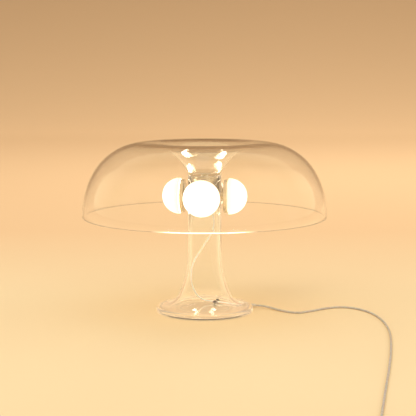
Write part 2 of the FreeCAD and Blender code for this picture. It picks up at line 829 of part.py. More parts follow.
# ---- Free cord: route on the floor, switch, coil and supply ----------------------------------------
cord_z = lead_radius + floor_gap
switch_mid_z = switch_height / 2
cord_first_run = 13.0
cord_route = [
    exit_line(sleeve_outside),
    exit_line(sleeve_outside + cord_first_run),
    Vector(99.0, -7.0, cord_z),
    Vector(120.0, -24.0, cord_z),
    Vector(142.0, -10.0, cord_z),
    Vector(162.0, 7.0, cord_z),
    Vector(184.0, 15.5, cord_z),
    Vector(204.0, 4.0, cord_z),
    Vector(219.0, -22.0, cord_z),
    Vector(226.5, -62.0, cord_z),
    Vector(226.5, -116.0, cord_z),
    Vector(218.8, -174.0, cord_z),
    Vector(208.8, -231.0, cord_z),
    Vector(197.6, -288.0, cord_z),
    Vector(185.4, -345.0, cord_z),
    Vector(173.6, -402.0, cord_z),
    Vector(166.6, -436.0, cord_z),
    Vector(162.2, -457.0, cord_z),
    Vector(158.7, -478.0, switch_mid_z),
    Vector(156.8, -489.4, switch_mid_z),
]
switch_heading = (cord_route[-1] - cord_route[-2]).normalize()
switch_angle = math.degrees(math.atan2(switch_heading.y, switch_heading.x))
switch_span = switch_length + 2 * boot_length
switch_center = cord_route[-1] + switch_heading * (switch_span / 2) - UP * switch_mid_z
switch_far_end = cord_route[-1] + switch_heading * switch_span

coil_outer_radius = coil_inner_radius + coil_pitch * coil_layer_quarters[0] / 4
coil_lead_in = 2 * lead_radius
coil_start = Vector(138.0, -602.0, cord_z)
link_first_run = 11.0
link_last_run = 12.0
tail_first_run = 14.0
tail_last_run = 12.5
tail_bend = Vector(88.5, -625.0, supply_height / 2 - 1)
coil_center = coil_start + Vector(-coil_outer_radius, -coil_lead_in, 0)


def coil_stations():
    """Points and tangents of the coil, one for each quarter turn, wound clockwise from above.

    The layers spiral in and out by turns, and each climb to the next layer takes a half turn.
    """
    stations = []
    angle = 0.0
    height = 0.0
    radius = coil_outer_radius
    inward = -1
    quarter_step = coil_pitch / 4

    def add(slope_out, slope_up):
        outward = direction(angle)
        along = Vector(math.sin(math.radians(angle)), -math.cos(math.radians(angle)), 0)
        tangent = along * radius + outward * slope_out + UP * slope_up
        stations.append((coil_center + outward * radius + UP * height, tangent.normalize()))

    add(0, 0)
    for layer, quarters in enumerate(coil_layer_quarters):
        for quarter in range(quarters):
            angle -= 90
            radius += inward * quarter_step
            at_end = quarter == quarters - 1
            add(0 if at_end else inward * coil_pitch / (2 * math.pi), 0)
        if layer < len(coil_layer_quarters) - 1:
            for part in (1, 2):
                angle -= 90
                height += coil_layer_pitch / 2
                add(0, 1.5 * coil_layer_pitch / math.pi if part == 1 else 0)
        inward = -inward
    return stations


def biarc(start, start_tangent, end, end_tangent):
    """Two tangent arcs between two points with given tangents."""
    span = end - start
    tangents = start_tangent + end_tangent
    spread = 2 * (1 - start_tangent.dot(end_tangent))
    reach = (math.sqrt(span.dot(tangents) ** 2 + spread * span.dot(span)) - span.dot(tangents)) / spread
    first_corner = start + start_tangent * reach
    second_corner = end - end_tangent * reach
    joint = (first_corner + second_corner) * 0.5
    return [corner_arc(start, first_corner, joint)[0], corner_arc(joint, second_corner, end)[0]]


def make_cord_coil():
    """Put-away coil: one unbroken tube in four layers, with a straight end at each side."""
    stations = coil_stations()
    first_point, first_tangent = stations[0]
    last_point, last_tangent = stations[-1]
    coil_end = last_point + last_tangent * coil_lead_in
    edges = [Part.LineSegment(first_point - first_tangent * coil_lead_in, first_point).toShape()]
    for (start, start_tangent), (end, end_tangent) in zip(stations, stations[1:]):
        edges += biarc(start, start_tangent, end, end_tangent)
    edges.append(Part.LineSegment(last_point, coil_end).toShape())
    solid = tube(edges, lead_radius)
    length = sum(edge.Length for edge in edges)
    ratio = solid.Volume / (math.pi * lead_radius ** 2 * length)
    print(f"cord_coil: length {length:.1f}, volume ratio {ratio:.5f}, self-gap {self_gap(edges):.2f}")
    return solid, length, coil_end, last_tangent


def self_gap(edges):
    """Least gap between turns of the coil, measured on points along its middle line."""
    spacing = 1.0
    points = []
    travelled = 0.0
    for edge in edges:
        count = max(2, round(edge.Length / spacing))
        for place in edge.discretize(count)[1:]:
            points.append((travelled, place))
            travelled += edge.Length / (count - 1)
    apart = 8 * lead_radius
    least = min((a - b).Length for index, (s, a) in enumerate(points)
                for t, b in points[index + 1:] if t - s > apart)
    return least - 2 * lead_radius


# ---- In-line switch, made along +X round its own centre and then placed ----------------------------
def switch_outline(height, center_z, inset):
    """Rounded block of the switch, drawn in by an inset all round."""
    return rounded_bar(switch_length - 2 * inset, switch_width - 2 * inset, height,
                       switch_corner_radius - inset, center_z)


def switch_screw_places():
    """Axes of the two case screws."""
    return [Vector(side * switch_screw_offset, 0, 0) for side in (-1, 1)]


def boot_recess():
    """Space of both boots in the ends of the switch."""
    solids = []
    for side in (-1, 1):
        axis = X_AXIS * side
        start = axis * (switch_length / 2 - boot_inside) + UP * switch_mid_z
        solids.append(cylinder(boot_flange_radius, boot_flange, start, axis))
        solids.append(cylinder(boot_root_radius, boot_inside + 1, start, axis))
    return solids


def make_switch_lower():
    """Lower shell of the switch, with two screw posts."""
    shell = switch_outline(switch_mid_z, switch_mid_z / 2, 0)
    shell = shell.makeFillet(switch_edge_fillet, edges_at_height(shell, 0))
    hollow = switch_outline(switch_mid_z, switch_mid_z / 2 + switch_wall, switch_wall)
    shell = shell.cut(hollow)
    for place in switch_screw_places():
        shell = shell.fuse(cylinder(switch_post_radius, switch_mid_z - switch_wall, place + UP * switch_wall))
    for place in switch_screw_places():
        shell = shell.cut(cylinder(switch_screw_head_radius + running_clearance, switch_screw_head, place))
        shell = shell.cut(cylinder(switch_screw_radius, switch_mid_z, place))
    return shell.cut(boot_recess()).removeSplitter()


def grip_grooves():
    """Short cross grooves in the top of the switch, on both sides of the button."""
    length = switch_width / 2
    grooves = []
    for side in (-1, 1):
        for index in range(grip_count):
            x = side * (grip_start + grip_pitch * index) - grip_width / 2
            corner = Vector(x, -length / 2, switch_height - grip_depth)
            grooves.append(Part.makeBox(grip_width, length, 2 * grip_depth, corner))
    return grooves


def make_switch_upper():
    """Upper shell of the switch, with its posts and the hole for the button."""
    height = switch_height - switch_mid_z
    shell = switch_outline(height, switch_mid_z + height / 2, 0)
    shell = shell.makeFillet(switch_edge_fillet, edges_at_height(shell, switch_height))
    hollow = switch_outline(height, switch_mid_z + height / 2 - switch_wall, switch_wall)
    shell = shell.cut(hollow)
    for place in switch_screw_places():
        shell = shell.fuse(cylinder(switch_post_radius, height - switch_wall, place + UP * switch_mid_z))
    for place in switch_screw_places():
        shell = shell.cut(cylinder(switch_screw_radius, height - 2 * switch_wall, place + UP * switch_mid_z))
    hole = cylinder(button_radius + button_gap, height, UP * switch_mid_z)
    return shell.cut([hole] + grip_grooves()).cut(boot_recess()).removeSplitter()


def make_switch_boots():
    """Tapered cord boots at both ends of the switch, each with a flange inside the case."""
    boots = []
    for side in (-1, 1):
        axis = X_AXIS * side
        start = axis * (switch_length / 2 - boot_inside) + UP * switch_mid_z
        root = start + axis * boot_inside
        root_radius = boot_root_radius - running_clearance
        neck = cylinder(root_radius, boot_inside, start, axis)
        flange_radius = boot_flange_radius - running_clearance
        flange = cylinder(flange_radius, boot_flange - running_clearance, start, axis)
        taper = cone(root_radius, boot_tip_radius, boot_length, root, axis)
        radii = (root_radius, boot_tip_radius)
        taper = ringed(taper, radii, boot_length, root, axis, boot_rings, boot_groove)
        boots.append(neck.fuse([flange, taper]).removeSplitter())
    return boots


def make_switch_screws():
    """Case screws, driven from below."""
    screws = []
    for place in switch_screw_places():
        head = cylinder(switch_screw_head_radius, switch_screw_head, place)
        shank = cylinder(switch_screw_radius - running_clearance, switch_mid_z, place)
        screws.append(head.fuse(shank).removeSplitter())
    return screws


block_top_z = switch_wall + block_size[2]
button_flange_z = switch_height - switch_wall - seat_gap - button_flange


def make_contact_block():
    """Contact block on the floor of the switch."""
    length, width, height = block_size
    return Part.makeBox(length, width, height, Vector(-length / 2, -width / 2, switch_wall))


def make_switch_button():
    """Round push button with a shallow finger dish, and its flange under the shell."""
    top_z = switch_height + button_proud
    button = cylinder(button_radius, top_z - button_flange_z, UP * button_flange_z)
    button = button.makeFillet(button_edge_fillet, edges_at_height(button, top_z))
    dish_reach = button_radius - 1.3 * button_edge_fillet
    dish_radius = (dish_reach ** 2 + button_dish ** 2) / (2 * button_dish)
    dish = Part.makeSphere(dish_radius, UP * (top_z - button_dish + dish_radius))
    flange = cylinder(button_flange_radius, button_flange, UP * button_flange_z)
    return button.cut(dish).fuse(flange).removeSplitter()


def make_button_spring():
    """Light coil spring between the contact block and the button."""
    seat = seat_gap + spring_wire_radius
    height = button_flange_z - block_top_z - 2 * seat
    helix = Part.makeHelix(height / spring_turns, height, spring_radius)
    helix.translate(UP * (block_top_z + seat))
    profile = Part.Wire(Part.makeCircle(spring_wire_radius, Vector(spring_radius, 0, block_top_z + seat),
                                        Vector(0, 1, 0)))
    return Part.Solid(Part.Wire(helix).makePipeShell([profile], True, True))


# ---- Plug-in supply, made along +X with its pins forward and then placed ---------------------------
supply_mid_z = supply_height / 2
supply_cover_x = supply_length - supply_cover_depth


def supply_block(start_x, length, inset):
    """Part of the supply's rounded block, drawn in by an inset at its sides."""
    block = Part.makeBox(length, supply_width - 2 * inset, supply_height - 2 * inset,
                         Vector(start_x, -supply_width / 2 + inset, inset))
    long_edges = [edge for edge in block.Edges if abs(edge.tangentAt(edge.FirstParameter).x) > 0.9]
    return block.makeFillet(supply_corner_radius - inset, long_edges)


def make_supply_housing():
    """Open-ended housing of the supply, with the boot's hole in its closed end."""
    housing = supply_block(0, supply_cover_x, 0)
    back = [edge for edge in housing.Edges if edge.BoundBox.XMax < 1e-4]
    housing = housing.makeFillet(supply_wall * 0.8, back)
    housing = housing.cut(supply_block(supply_wall, supply_cover_x, supply_wall))
    hole = cylinder(supply_boot_root_radius, 3 * supply_wall, Vector(-supply_wall, 0, supply_mid_z), X_AXIS)
    return housing.cut([hole, seam_groove(supply_cover_x - supply_seam_groove)] + vent_slots())


def seam_groove(start_x):
    """Shallow groove round the case, on one side of the seam between its shells."""
    return supply_block(start_x, supply_seam_groove, -1).cut(
        supply_block(start_x, supply_seam_groove, supply_seam_groove))


def vent_slots():
    """Blind slots in the top of the housing, in rows on both sides of its middle."""
    middle_x, first_y = vent_middle
    slots = []
    for side in (-1, 1):
        for index in range(vent_count):
            y = side * (first_y + vent_pitch * index)
            corner = Vector(middle_x - vent_length / 2, y - vent_width / 2, supply_height - vent_depth)
            slots.append(Part.makeBox(vent_length, vent_width, 2 * vent_depth, corner))
    return slots


def pin_places():
    """Axes of the two plug pins."""
    return [Vector(0, side * pin_spacing / 2, supply_mid_z) for side in (-1, 1)]


def make_supply_cover():
    """Cover with the raised pad that carries the pins."""
    cover = supply_block(supply_cover_x, supply_cover_depth, 0)
    front = [edge for edge in cover.Edges if edge.BoundBox.XMin > supply_length - 1e-4]
    cover = cover.makeFillet(supply_front_fillet, front).cut(seam_groove(supply_cover_x))
    pad_width, pad_height = supply_pad_size
    pad = Part.makeBox(supply_pad_length, pad_width, pad_height,
                       Vector(supply_length, -pad_width / 2, supply_mid_z - pad_height / 2))
    long_edges = [edge for edge in pad.Edges if abs(edge.tangentAt(edge.FirstParameter).x) > 0.9]
    pad = pad.makeFillet(pad_height / 2 - 0.01, long_edges)
    face = [edge for edge in pad.Edges if edge.BoundBox.XMin > supply_length + supply_pad_length - 1e-4]
    pad = pad.makeFillet(supply_pad_fillet, face)
    cover = cover.fuse(pad).cut(supply_block(supply_cover_x, supply_cover_depth - supply_wall, supply_wall))
    for place in pin_places():
        root = place + X_AXIS * (supply_length + supply_pad_length - pin_root)
        cover = cover.cut(cylinder(pin_root_radius, pin_root, root, X_AXIS))
    return cover.removeSplitter()


def make_plug_pins():
    """Two round pins with domed tips and thinner roots in the cover."""
    pins = []
    face_x = supply_length + supply_pad_length
    for place in pin_places():
        body = cylinder(pin_radius, pin_length, place + X_AXIS * face_x, X_AXIS)
        tip = [edge for edge in body.Edges if abs(edge.BoundBox.XMin - face_x - pin_length) < 1e-4]
        root = cylinder(pin_root_radius, pin_root, place + X_AXIS * (face_x - pin_root), X_AXIS)
        pins.append(body.makeFillet(pin_radius * 0.8, tip).fuse(root))
    return pins


def make_supply_board():
    """Circuit board of the supply with its transformer and capacitor."""
    board_length = supply_cover_x - 2 * supply_wall
    board_width = supply_width - 2 * supply_wall - 2 * hub_gap
    board_z = supply_board_height
    board = Part.makeBox(board_length, board_width, supply_board_thickness,
                         Vector(supply_wall + hub_gap, -board_width / 2, board_z))
    length, width, height = transformer_size
    top_z = board_z + supply_board_thickness
    transformer = Part.makeBox(length, width, height, Vector(*transformer_place, top_z))
    capacitor = cylinder(capacitor_radius, capacitor_length, Vector(*capacitor_place, top_z))
    return board.fuse([transformer, capacitor]).removeSplitter()


def make_supply_boot():
    """Ribbed tapered boot that the cord leaves the supply by."""
    back = -X_AXIS
    radius = supply_boot_root_radius - running_clearance
    flange_start = Vector(supply_wall, 0, supply_mid_z)
    flange = cylinder(supply_boot_flange_radius, supply_boot_flange, flange_start, X_AXIS)
    through = cylinder(radius, supply_wall, Vector(0, 0, supply_mid_z), X_AXIS)
    face = Vector(0, 0, supply_mid_z)
    taper = cone(radius, boot_tip_radius, supply_boot_length, face, back)
    taper = ringed(taper, (radius, boot_tip_radius), supply_boot_length, face, back,
                   supply_boot_rings, supply_boot_groove)
    return flange.fuse([through, taper]).removeSplitter()


# ---- Writing the solids ----------------------------------------------------------------------------
def export(name, shape):
    """Write a node's STEP file, one or more solids under its name."""
    solids = shape if isinstance(shape, list) else [shape]
    solids = [solid for item in solids for solid in item.Solids]
    for solid in solids:
        if not solid.isValid() or solid.Volume <= 0:
            raise RuntimeError(f"{name} is not a valid solid")
    result = solids[0] if len(solids) == 1 else Part.makeCompound(solids)
    result.exportStep(f"parts/{name}.step")


def main():
    """Build every piece and write it."""
    os.makedirs("parts", exist_ok=True)
    export("stem_base", make_stem_base())
    export("base_plate", make_base_plate())
    export("cord_clamp", make_cord_clamp())
    export("clamp_screws", make_clamp_screws())
    export("cord_sleeve", make_cord_sleeve())
    export("shade", make_shade())
    export("retaining_screw", make_retaining_screw())
    export("shade_washer", make_shade_washer())
    export("light_hub", make_light_hub())
    export("hub_cover", make_hub_cover())
    export("lead_grommet", make_lead_grommet())
    export("distribution_board", make_hub_board())
    cup = make_light_cup()
    dome = make_opal_dome()
    led_board = make_led_board()
    for name, angle in light_angles():
        export(f"light_cup_{name}", light_solid(cup, angle))
        export(f"opal_dome_{name}", light_solid(dome, angle))
        export(f"led_board_{name}", light_solid(led_board, angle))
    export("board_screws", make_board_screws())
    export("light_wires", make_light_wires())
    export("inner_lead", make_inner_lead())

    run, run_length = routed_tube("cord_run", cord_route, lead_radius)
    export("cord_run", run)
    link_points = [
        switch_far_end,
        switch_far_end + switch_heading * link_first_run,
        coil_start + Vector(0, link_last_run, 0),
        coil_start,
    ]
    link, link_length = routed_tube("cord_link", link_points, lead_radius)
    export("cord_link", link)
    coil, coil_length, coil_end, coil_heading = make_cord_coil()
    export("cord_coil", coil)

    boot_tip = supply_position - direction(supply_angle) * supply_boot_length + UP * supply_mid_z
    tail_points = [
        coil_end,
        coil_end + coil_heading * tail_first_run,
        tail_bend,
        boot_tip - direction(supply_angle) * tail_last_run,
        boot_tip,
    ]
    tail, tail_length = routed_tube("cord_tail", tail_points, lead_radius)
    export("cord_tail", tail)

    for name, shape in (
        ("switch_lower", make_switch_lower()),
        ("switch_upper", make_switch_upper()),
        ("switch_button", make_switch_button()),
        ("button_spring", make_button_spring()),
        ("contact_block", make_contact_block()),
    ):
        export(name, placed(shape, switch_center, switch_angle))
    export("switch_boots", [placed(boot, switch_center, switch_angle) for boot in make_switch_boots()])
    export("switch_screws", [placed(screw, switch_center, switch_angle) for screw in make_switch_screws()])

    for name, shape in (
        ("supply_housing", make_supply_housing()),
        ("supply_cover", make_supply_cover()),
        ("supply_board", make_supply_board()),
        ("supply_boot", make_supply_boot()),
    ):
        export(name, placed(shape, supply_position, supply_angle))
    export("plug_pins", [placed(pin, supply_position, supply_angle) for pin in make_plug_pins()])
    cord_length = run_length + switch_span + link_length + coil_length + tail_length + supply_boot_length
    print(f"free cord: total length {cord_length:.0f}")


main()
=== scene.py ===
"""Looks of the clear mushroom table lamp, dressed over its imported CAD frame.

Sizes are written in millimetres, as in the part's source, and turned to metres where a mesh is made.
"""
import json
import logging
import math
from collections.abc import Callable, Iterable, Sequence
from dataclasses import dataclass
from enum import Enum

import bmesh
import bpy
from mathutils import Matrix, Vector

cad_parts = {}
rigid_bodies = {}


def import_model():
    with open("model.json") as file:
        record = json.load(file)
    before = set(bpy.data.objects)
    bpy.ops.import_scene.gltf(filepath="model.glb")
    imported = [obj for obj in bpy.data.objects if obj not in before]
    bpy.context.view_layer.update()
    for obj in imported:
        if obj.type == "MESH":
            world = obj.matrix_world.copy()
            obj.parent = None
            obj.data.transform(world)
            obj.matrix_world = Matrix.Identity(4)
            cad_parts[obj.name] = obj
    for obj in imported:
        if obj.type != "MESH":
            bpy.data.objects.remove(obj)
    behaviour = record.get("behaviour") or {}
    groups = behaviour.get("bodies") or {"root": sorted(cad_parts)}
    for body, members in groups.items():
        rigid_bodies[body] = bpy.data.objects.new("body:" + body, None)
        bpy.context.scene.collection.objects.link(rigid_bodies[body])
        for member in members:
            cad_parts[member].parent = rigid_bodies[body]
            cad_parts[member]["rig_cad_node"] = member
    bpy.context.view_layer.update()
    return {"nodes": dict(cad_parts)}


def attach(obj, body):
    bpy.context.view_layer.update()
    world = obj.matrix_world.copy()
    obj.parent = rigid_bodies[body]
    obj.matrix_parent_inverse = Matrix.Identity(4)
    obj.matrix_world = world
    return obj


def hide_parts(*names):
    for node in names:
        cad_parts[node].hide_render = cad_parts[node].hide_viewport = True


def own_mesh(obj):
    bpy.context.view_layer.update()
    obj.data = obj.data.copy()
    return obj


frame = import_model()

log = logging.getLogger("lamp")
Pair = tuple[float, float]
Triple = tuple[float, float, float]
Piece = bpy.types.Object
Tree = bpy.types.NodeTree
Socket = bpy.types.NodeSocket
Test = Callable[[Vector, Vector], bool]

MM = 0.001
UP = Vector((0, 0, 1))
SIDES = (-1, 1)
AT_PLACE = 0.01  # millimetres within which an edge or a face counts as lying in a plane
SQUARE_ON = 0.9  # least share of a direction along an axis that counts as running along it
ARC_STEP = 2.5  # degrees of a turned outline's arc between two points
LIGHT_Z = 153.0  # height of the four lights
ARM_TURN = -7.0  # plan angle of the first arm of their cross
LEAD_OUTLET: Pair = (11.5, 28.0)  # reach and plan angle of the lead's way out of the hub


# ---- Colour and node helpers -----------------------------------------------------------------------
class Operation(Enum):
    """Sums of the Math node that the finishes use."""
    ABSOLUTE = "ABSOLUTE"
    GREATER = "GREATER_THAN"
    LESS = "LESS_THAN"
    MAXIMUM = "MAXIMUM"
    MULTIPLY = "MULTIPLY"


def linear(hex_colour: str) -> tuple[float, float, float, float]:
    """Turn an sRGB hex colour into Blender's linear colour.

    Args:
        hex_colour: colour such as "#EAD2AC".

    Returns:
        Linear red, green, blue and an alpha of 1.
    """
    parts = [int(hex_colour[i:i + 2], 16) / 255 for i in (1, 3, 5)]
    red, green, blue = (v / 12.92 if v <= 0.04045 else ((v + 0.055) / 1.055) ** 2.4 for v in parts)
    return red, green, blue, 1.0


def add_node(tree: Tree, kind: str, inputs: dict | None = None) -> bpy.types.Node:
    """Add one shader node and fill it in.

    Args:
        tree: node tree to add to.
        kind: Blender's type name of the node.
        inputs: a value or an output socket for each property's name, or input's name or number.

    Returns:
        The new node.
    """
    node = tree.nodes.new(kind)
    for key, value in (inputs or {}).items():
        if isinstance(value, Socket):
            tree.links.new(value, node.inputs[key])
        elif isinstance(key, str) and hasattr(node, key):
            setattr(node, key, value)
        else:
            node.inputs[key].default_value = value
    return node


def blank_tree(owner: bpy.types.Material | bpy.types.World) -> Tree:
    """Give the emptied node tree of a material or a world."""
    owner.use_nodes = True
    owner.node_tree.nodes.clear()
    return owner.node_tree


@dataclass
class Shading:
    """Nodes of one material, with the coordinates in metres that its patterns lie on."""
    tree: Tree
    place: Socket

    def noise(self, size_mm: float, detail: float = 3.0, place: Socket | None = None) -> Socket:
        """Soft noise from 0 to 1 whose blobs are about one size.

        Args:
            size_mm: width of a blob.
            detail: octaves of finer noise.
            place: coordinates, where they aren't the material's own.

        Returns:
            The noise's value.
        """
        return add_node(self.tree, "ShaderNodeTexNoise", {
            "Scale": 1 / (size_mm * MM), "Detail": detail, "Vector": place or self.place}).outputs["Fac"]

    def blend(self, factor: Socket, low: str, high: str, start: float = 0.35, end: float = 0.65) -> Socket:
        """Colour that goes from one hex colour to another as a factor rises.

        Args:
            factor: value that steers the blend.
            low: colour at and under the start.
            high: colour at and over the end.
            start: factor where the blend begins.
            end: factor where it ends.

        Returns:
            The blended colour.
        """
        ramp = add_node(self.tree, "ShaderNodeValToRGB", {"Fac": factor})
        for element, position, colour in zip(ramp.color_ramp.elements, (start, end), (low, high)):
            element.position = position
            element.color = linear(colour)
        return ramp.outputs["Color"]

    def mapped(self, value: Socket, start: float, end: float, low: Socket | float = 0.0,
               high: Socket | float = 1.0) -> Socket:
        """Map a value's range onto another one.

        Args:
            value: what is mapped.
            start: value that gives the low end.
            end: value that gives the high end.
            low: result at the start and before it.
            high: result at the end and past it.

        Returns:
            The mapped value.
        """
        return add_node(self.tree, "ShaderNodeMapRange", {
            "Value": value, "From Min": start, "From Max": end, "To Min": low,
            "To Max": high}).outputs["Result"]

    def calculate(self, operation: Operation, *values: Socket | float) -> Socket:
        """Result of a Math node on sockets or numbers."""
        return add_node(self.tree, "ShaderNodeMath", {
            "operation": operation.value, **dict(enumerate(values))}).outputs[0]

    def mix(self, factor: Socket, low: Socket | str, high: Socket | str) -> Socket:
        """Mix of two colours, each linked or in hex, as a factor goes from 0 to 1."""
        low, high = (linear(colour) if isinstance(colour, str) else colour for colour in (low, high))
        return add_node(self.tree, "ShaderNodeMix", {
            "data_type": "RGBA", 0: factor, 6: low, 7: high}).outputs[2]

    def bump(self, height: Socket, depth_mm: float) -> Socket:
        """Normal that follows a height pattern from 0 to 1 of a real depth."""
        return add_node(self.tree, "ShaderNodeBump", {
            "Height": height, "Distance": depth_mm * MM, "Strength": 1.0}).outputs["Normal"]

    def axis(self, name: str, vector: Socket | None = None) -> Socket:
        """X, Y or Z of a vector, or of the material's coordinates."""
        return add_node(self.tree, "ShaderNodeSeparateXYZ", {0: vector or self.place}).outputs[name]

    def ray(self, name: str) -> Socket:
        """One output of the Light Path node."""
        return add_node(self.tree, "ShaderNodeLightPath").outputs[name]

    def seen(self) -> Socket:
        """1 for rays from the camera and for those that a clear wall lets through."""
        return self.calculate(Operation.MAXIMUM, self.ray("Is Camera Ray"), self.ray("Is Transmission Ray"))

    def along_arms(self) -> Socket:
        """Distance in metres from the stem's axis along the nearer arm of the cross of lights."""
        turned_back = add_node(self.tree, "ShaderNodeMapping", {
            "Vector": self.place, "Rotation": (0.0, 0.0, -math.radians(ARM_TURN))}).outputs[0]
        size = add_node(self.tree, "ShaderNodeVectorMath", {
            "operation": "ABSOLUTE", 0: turned_back}).outputs[0]
        return self.calculate(Operation.MAXIMUM, self.axis("X", size), self.axis("Y", size))

    def principled(self, inputs: dict) -> Socket:
        """Principled shader with the given inputs."""
        return add_node(self.tree, "ShaderNodeBsdfPrincipled", inputs).outputs[0]


# ---- Finishes --------------------------------------------------------------------------------------
@dataclass(frozen=True)
class Finish:
    """One real material with its process, and the record's slot that it belongs to."""
    name: str
    slot: str

    def material(self) -> bpy.types.Material:
        """Give the finish's material, made once and shared."""
        found = bpy.data.materials.get(self.name)
        if found:
            return found
        made = bpy.data.materials.new(self.name)
        tree = blank_tree(made)
        shading = Shading(tree, add_node(tree, "ShaderNodeTexCoord").outputs["Object"])
        add_node(tree, "ShaderNodeOutputMaterial", {"Surface": self.surface(shading)})
        return made

    def surface(self, shading: Shading) -> Socket:
        """Build the finish's shader.

        Args:
            shading: the material's nodes, on its Object coordinates.

        Returns:
            The shader's output.
        """
        raise NotImplementedError


@dataclass(frozen=True)
class ClearAcrylic(Finish):
    """Injection-moulded clear acrylic: high gloss, a bend at every wall and faint flow waves.

    Walls near the four lights guide some of their light, which is seen as a faint glow at steep walls,
    along a rim and low in the foot. It stands for paths longer than the renderer follows.
    """
    tint_low: str = "#FEFEFC"
    tint_high: str = "#FFFFFF"
    shadow: str = "#FFFEFD"
    flow_size: float = 34.0
    flow_depth: float = 0.045
    edge_light: str = "#FFDFB8"
    wall_glow: float = 0.0
    wall_slant: Pair = (0.4, 0.6)
    wall_band: Pair = (221.0, 212.0)
    low_glow: float = 0.0
    low_band: Pair = (26.0, 8.0)
    front_glow: float = 0.0
    front_reach: Pair = (63.0, 42.0)

    def surface(self, shading: Shading) -> Socket:
        """Refracting shader that lets most of a lamp's light through to the floor."""
        flow = shading.noise(self.flow_size, 1.0)
        inputs = {"Transmission Weight": 1.0, "IOR": 1.49, "Roughness": 0.015,
                  "Emission Color": linear(self.edge_light),
                  "Base Color": shading.blend(flow, self.tint_low, self.tint_high),
                  "Normal": shading.bump(flow, self.flow_depth)}
        if self.low_glow:
            inputs["Emission Strength"] = self.guided_light(shading)
        through = add_node(shading.tree, "ShaderNodeBsdfTransparent", {"Color": linear(self.shadow)})
        return add_node(shading.tree, "ShaderNodeMixShader", {
            0: shading.ray("Is Shadow Ray"), 1: shading.principled(inputs), 2: through.outputs[0]}).outputs[0]

    def guided_light(self, shading: Shading) -> Socket:
        """Glow of the light that the wall guides: at steep walls under the crest, low down, and in front.

        Args:
            shading: the material's nodes.

        Returns:
            The strength of the glow.
        """
        height = shading.axis("Z")
        slant = add_node(shading.tree, "ShaderNodeLayerWeight", {"Blend": 0.5}).outputs["Facing"]
        steep = shading.calculate(
            Operation.MULTIPLY, shading.mapped(slant, *self.wall_slant, 0.0, self.wall_glow),
            shading.mapped(height, *(end * MM for end in self.wall_band)))
        aside = shading.calculate(Operation.ABSOLUTE, shading.axis("X"))
        middle = shading.mapped(aside, *(end * MM for end in self.front_reach))
        ahead = shading.calculate(Operation.LESS, shading.axis("Y"), 0.0)
        most = shading.mapped(shading.calculate(Operation.MULTIPLY, middle, ahead), 0.0, 1.0,
                              self.low_glow, self.low_glow + self.front_glow)
        low = shading.mapped(height, *(end * MM for end in self.low_band), 0.0, most)
        return shading.calculate(Operation.MAXIMUM, steep, low)


@dataclass(frozen=True)
class OpalAcrylic(Finish):
    """Blown opal acrylic lit from inside: an even warm glow that yellows towards the lip.

    What the eye sees of it just reaches white. What it lights gets more, and so does what mirrors the
    two globes at the sides, as the photograph's bright strokes in the funnel show.
    """
    middle: str = "#FFFAF0"
    lip: str = "#FFE9C4"
    skin_low: str = "#3A3630"
    skin_high: str = "#403B34"
    cloud: float = 9.0
    glow: float = 1.5
    room_glow: float = 2.6
    mirrored_glow: float = 14.0
    mirrored_front: float = 0.9
    front_reach: float = 29.0
    lip_distance: float = 31.8
    tip_distance: float = 55.8

    def surface(self, shading: Shading) -> Socket:
        """Glow that is strongest at the tip, under a satin skin."""
        lip = self.lip_distance * MM
        share = shading.mapped(shading.along_arms(), lip, self.tip_distance * MM)
        cloud = shading.noise(self.cloud, 2.0)
        plain = shading.mapped(shading.seen(), 0.0, 1.0, self.room_glow, self.glow)
        aside = shading.calculate(Operation.ABSOLUTE, shading.axis("X"))
        bright = shading.mapped(aside, self.front_reach * MM, lip, self.mirrored_front, self.mirrored_glow)
        mirrored = shading.calculate(Operation.GREATER, shading.ray("Glossy Depth"), 0.5)
        return shading.principled({
            "Roughness": 0.28, "IOR": 1.49, "Base Color": shading.blend(cloud, self.skin_low, self.skin_high),
            "Emission Color": shading.blend(share, self.lip, self.middle, 0.0, 0.55),
            "Emission Strength": shading.mapped(mirrored, 0.0, 1.0, plain, bright),
            "Normal": shading.bump(cloud, 0.02)})


@dataclass(frozen=True)
class TurnedMetal(Finish):
    """Lathe-turned and polished metal: mirror-like, with hairlines left by the tool."""
    low: str = "#E6D6BC"
    high: str = "#F3E6CF"
    roughness_low: float = 0.12
    roughness_high: float = 0.24
    hairline: float = 0.35
    hairline_length: float = 18.0
    wear: float = 7.0

    def surface(self, shading: Shading) -> Socket:
        """Metal whose roughness follows fine rings."""
        streaks = add_node(shading.tree, "ShaderNodeMapping", {
            "Vector": shading.place, "Scale": (1.0, 1.0, self.hairline_length)}).outputs[0]
        rings = shading.noise(self.hairline * self.hairline_length, 2.0, streaks)
        return shading.principled({
            "Metallic": 0.65, "Base Color": shading.blend(shading.noise(self.wear), self.low, self.high),
            "Roughness": shading.mapped(rings, 0.0, 1.0, self.roughness_low, self.roughness_high),
            "Normal": shading.bump(rings, 0.002)})


@dataclass(frozen=True)
class MouldedPlastic(Finish):
    """Moulded solid plastic: spark-eroded grain, a little colour drift and soft gloss."""
    low: str = "#CFCCC2"
    high: str = "#DAD7CE"
    roughness: float = 0.42
    grain: float = 0.7
    grain_depth: float = 0.02
    drift: float = 14.0

    def surface(self, shading: Shading) -> Socket:
        """Diffuse plastic with a grain in its bump and roughness."""
        fine = shading.noise(self.grain, 2.0)
        return shading.principled({
            "IOR": 1.54, "Base Color": shading.blend(shading.noise(self.drift), self.low, self.high),
            "Roughness": shading.mapped(fine, 0.0, 1.0, self.roughness - 0.07, self.roughness + 0.07),
            "Normal": shading.bump(fine, self.grain_depth)})


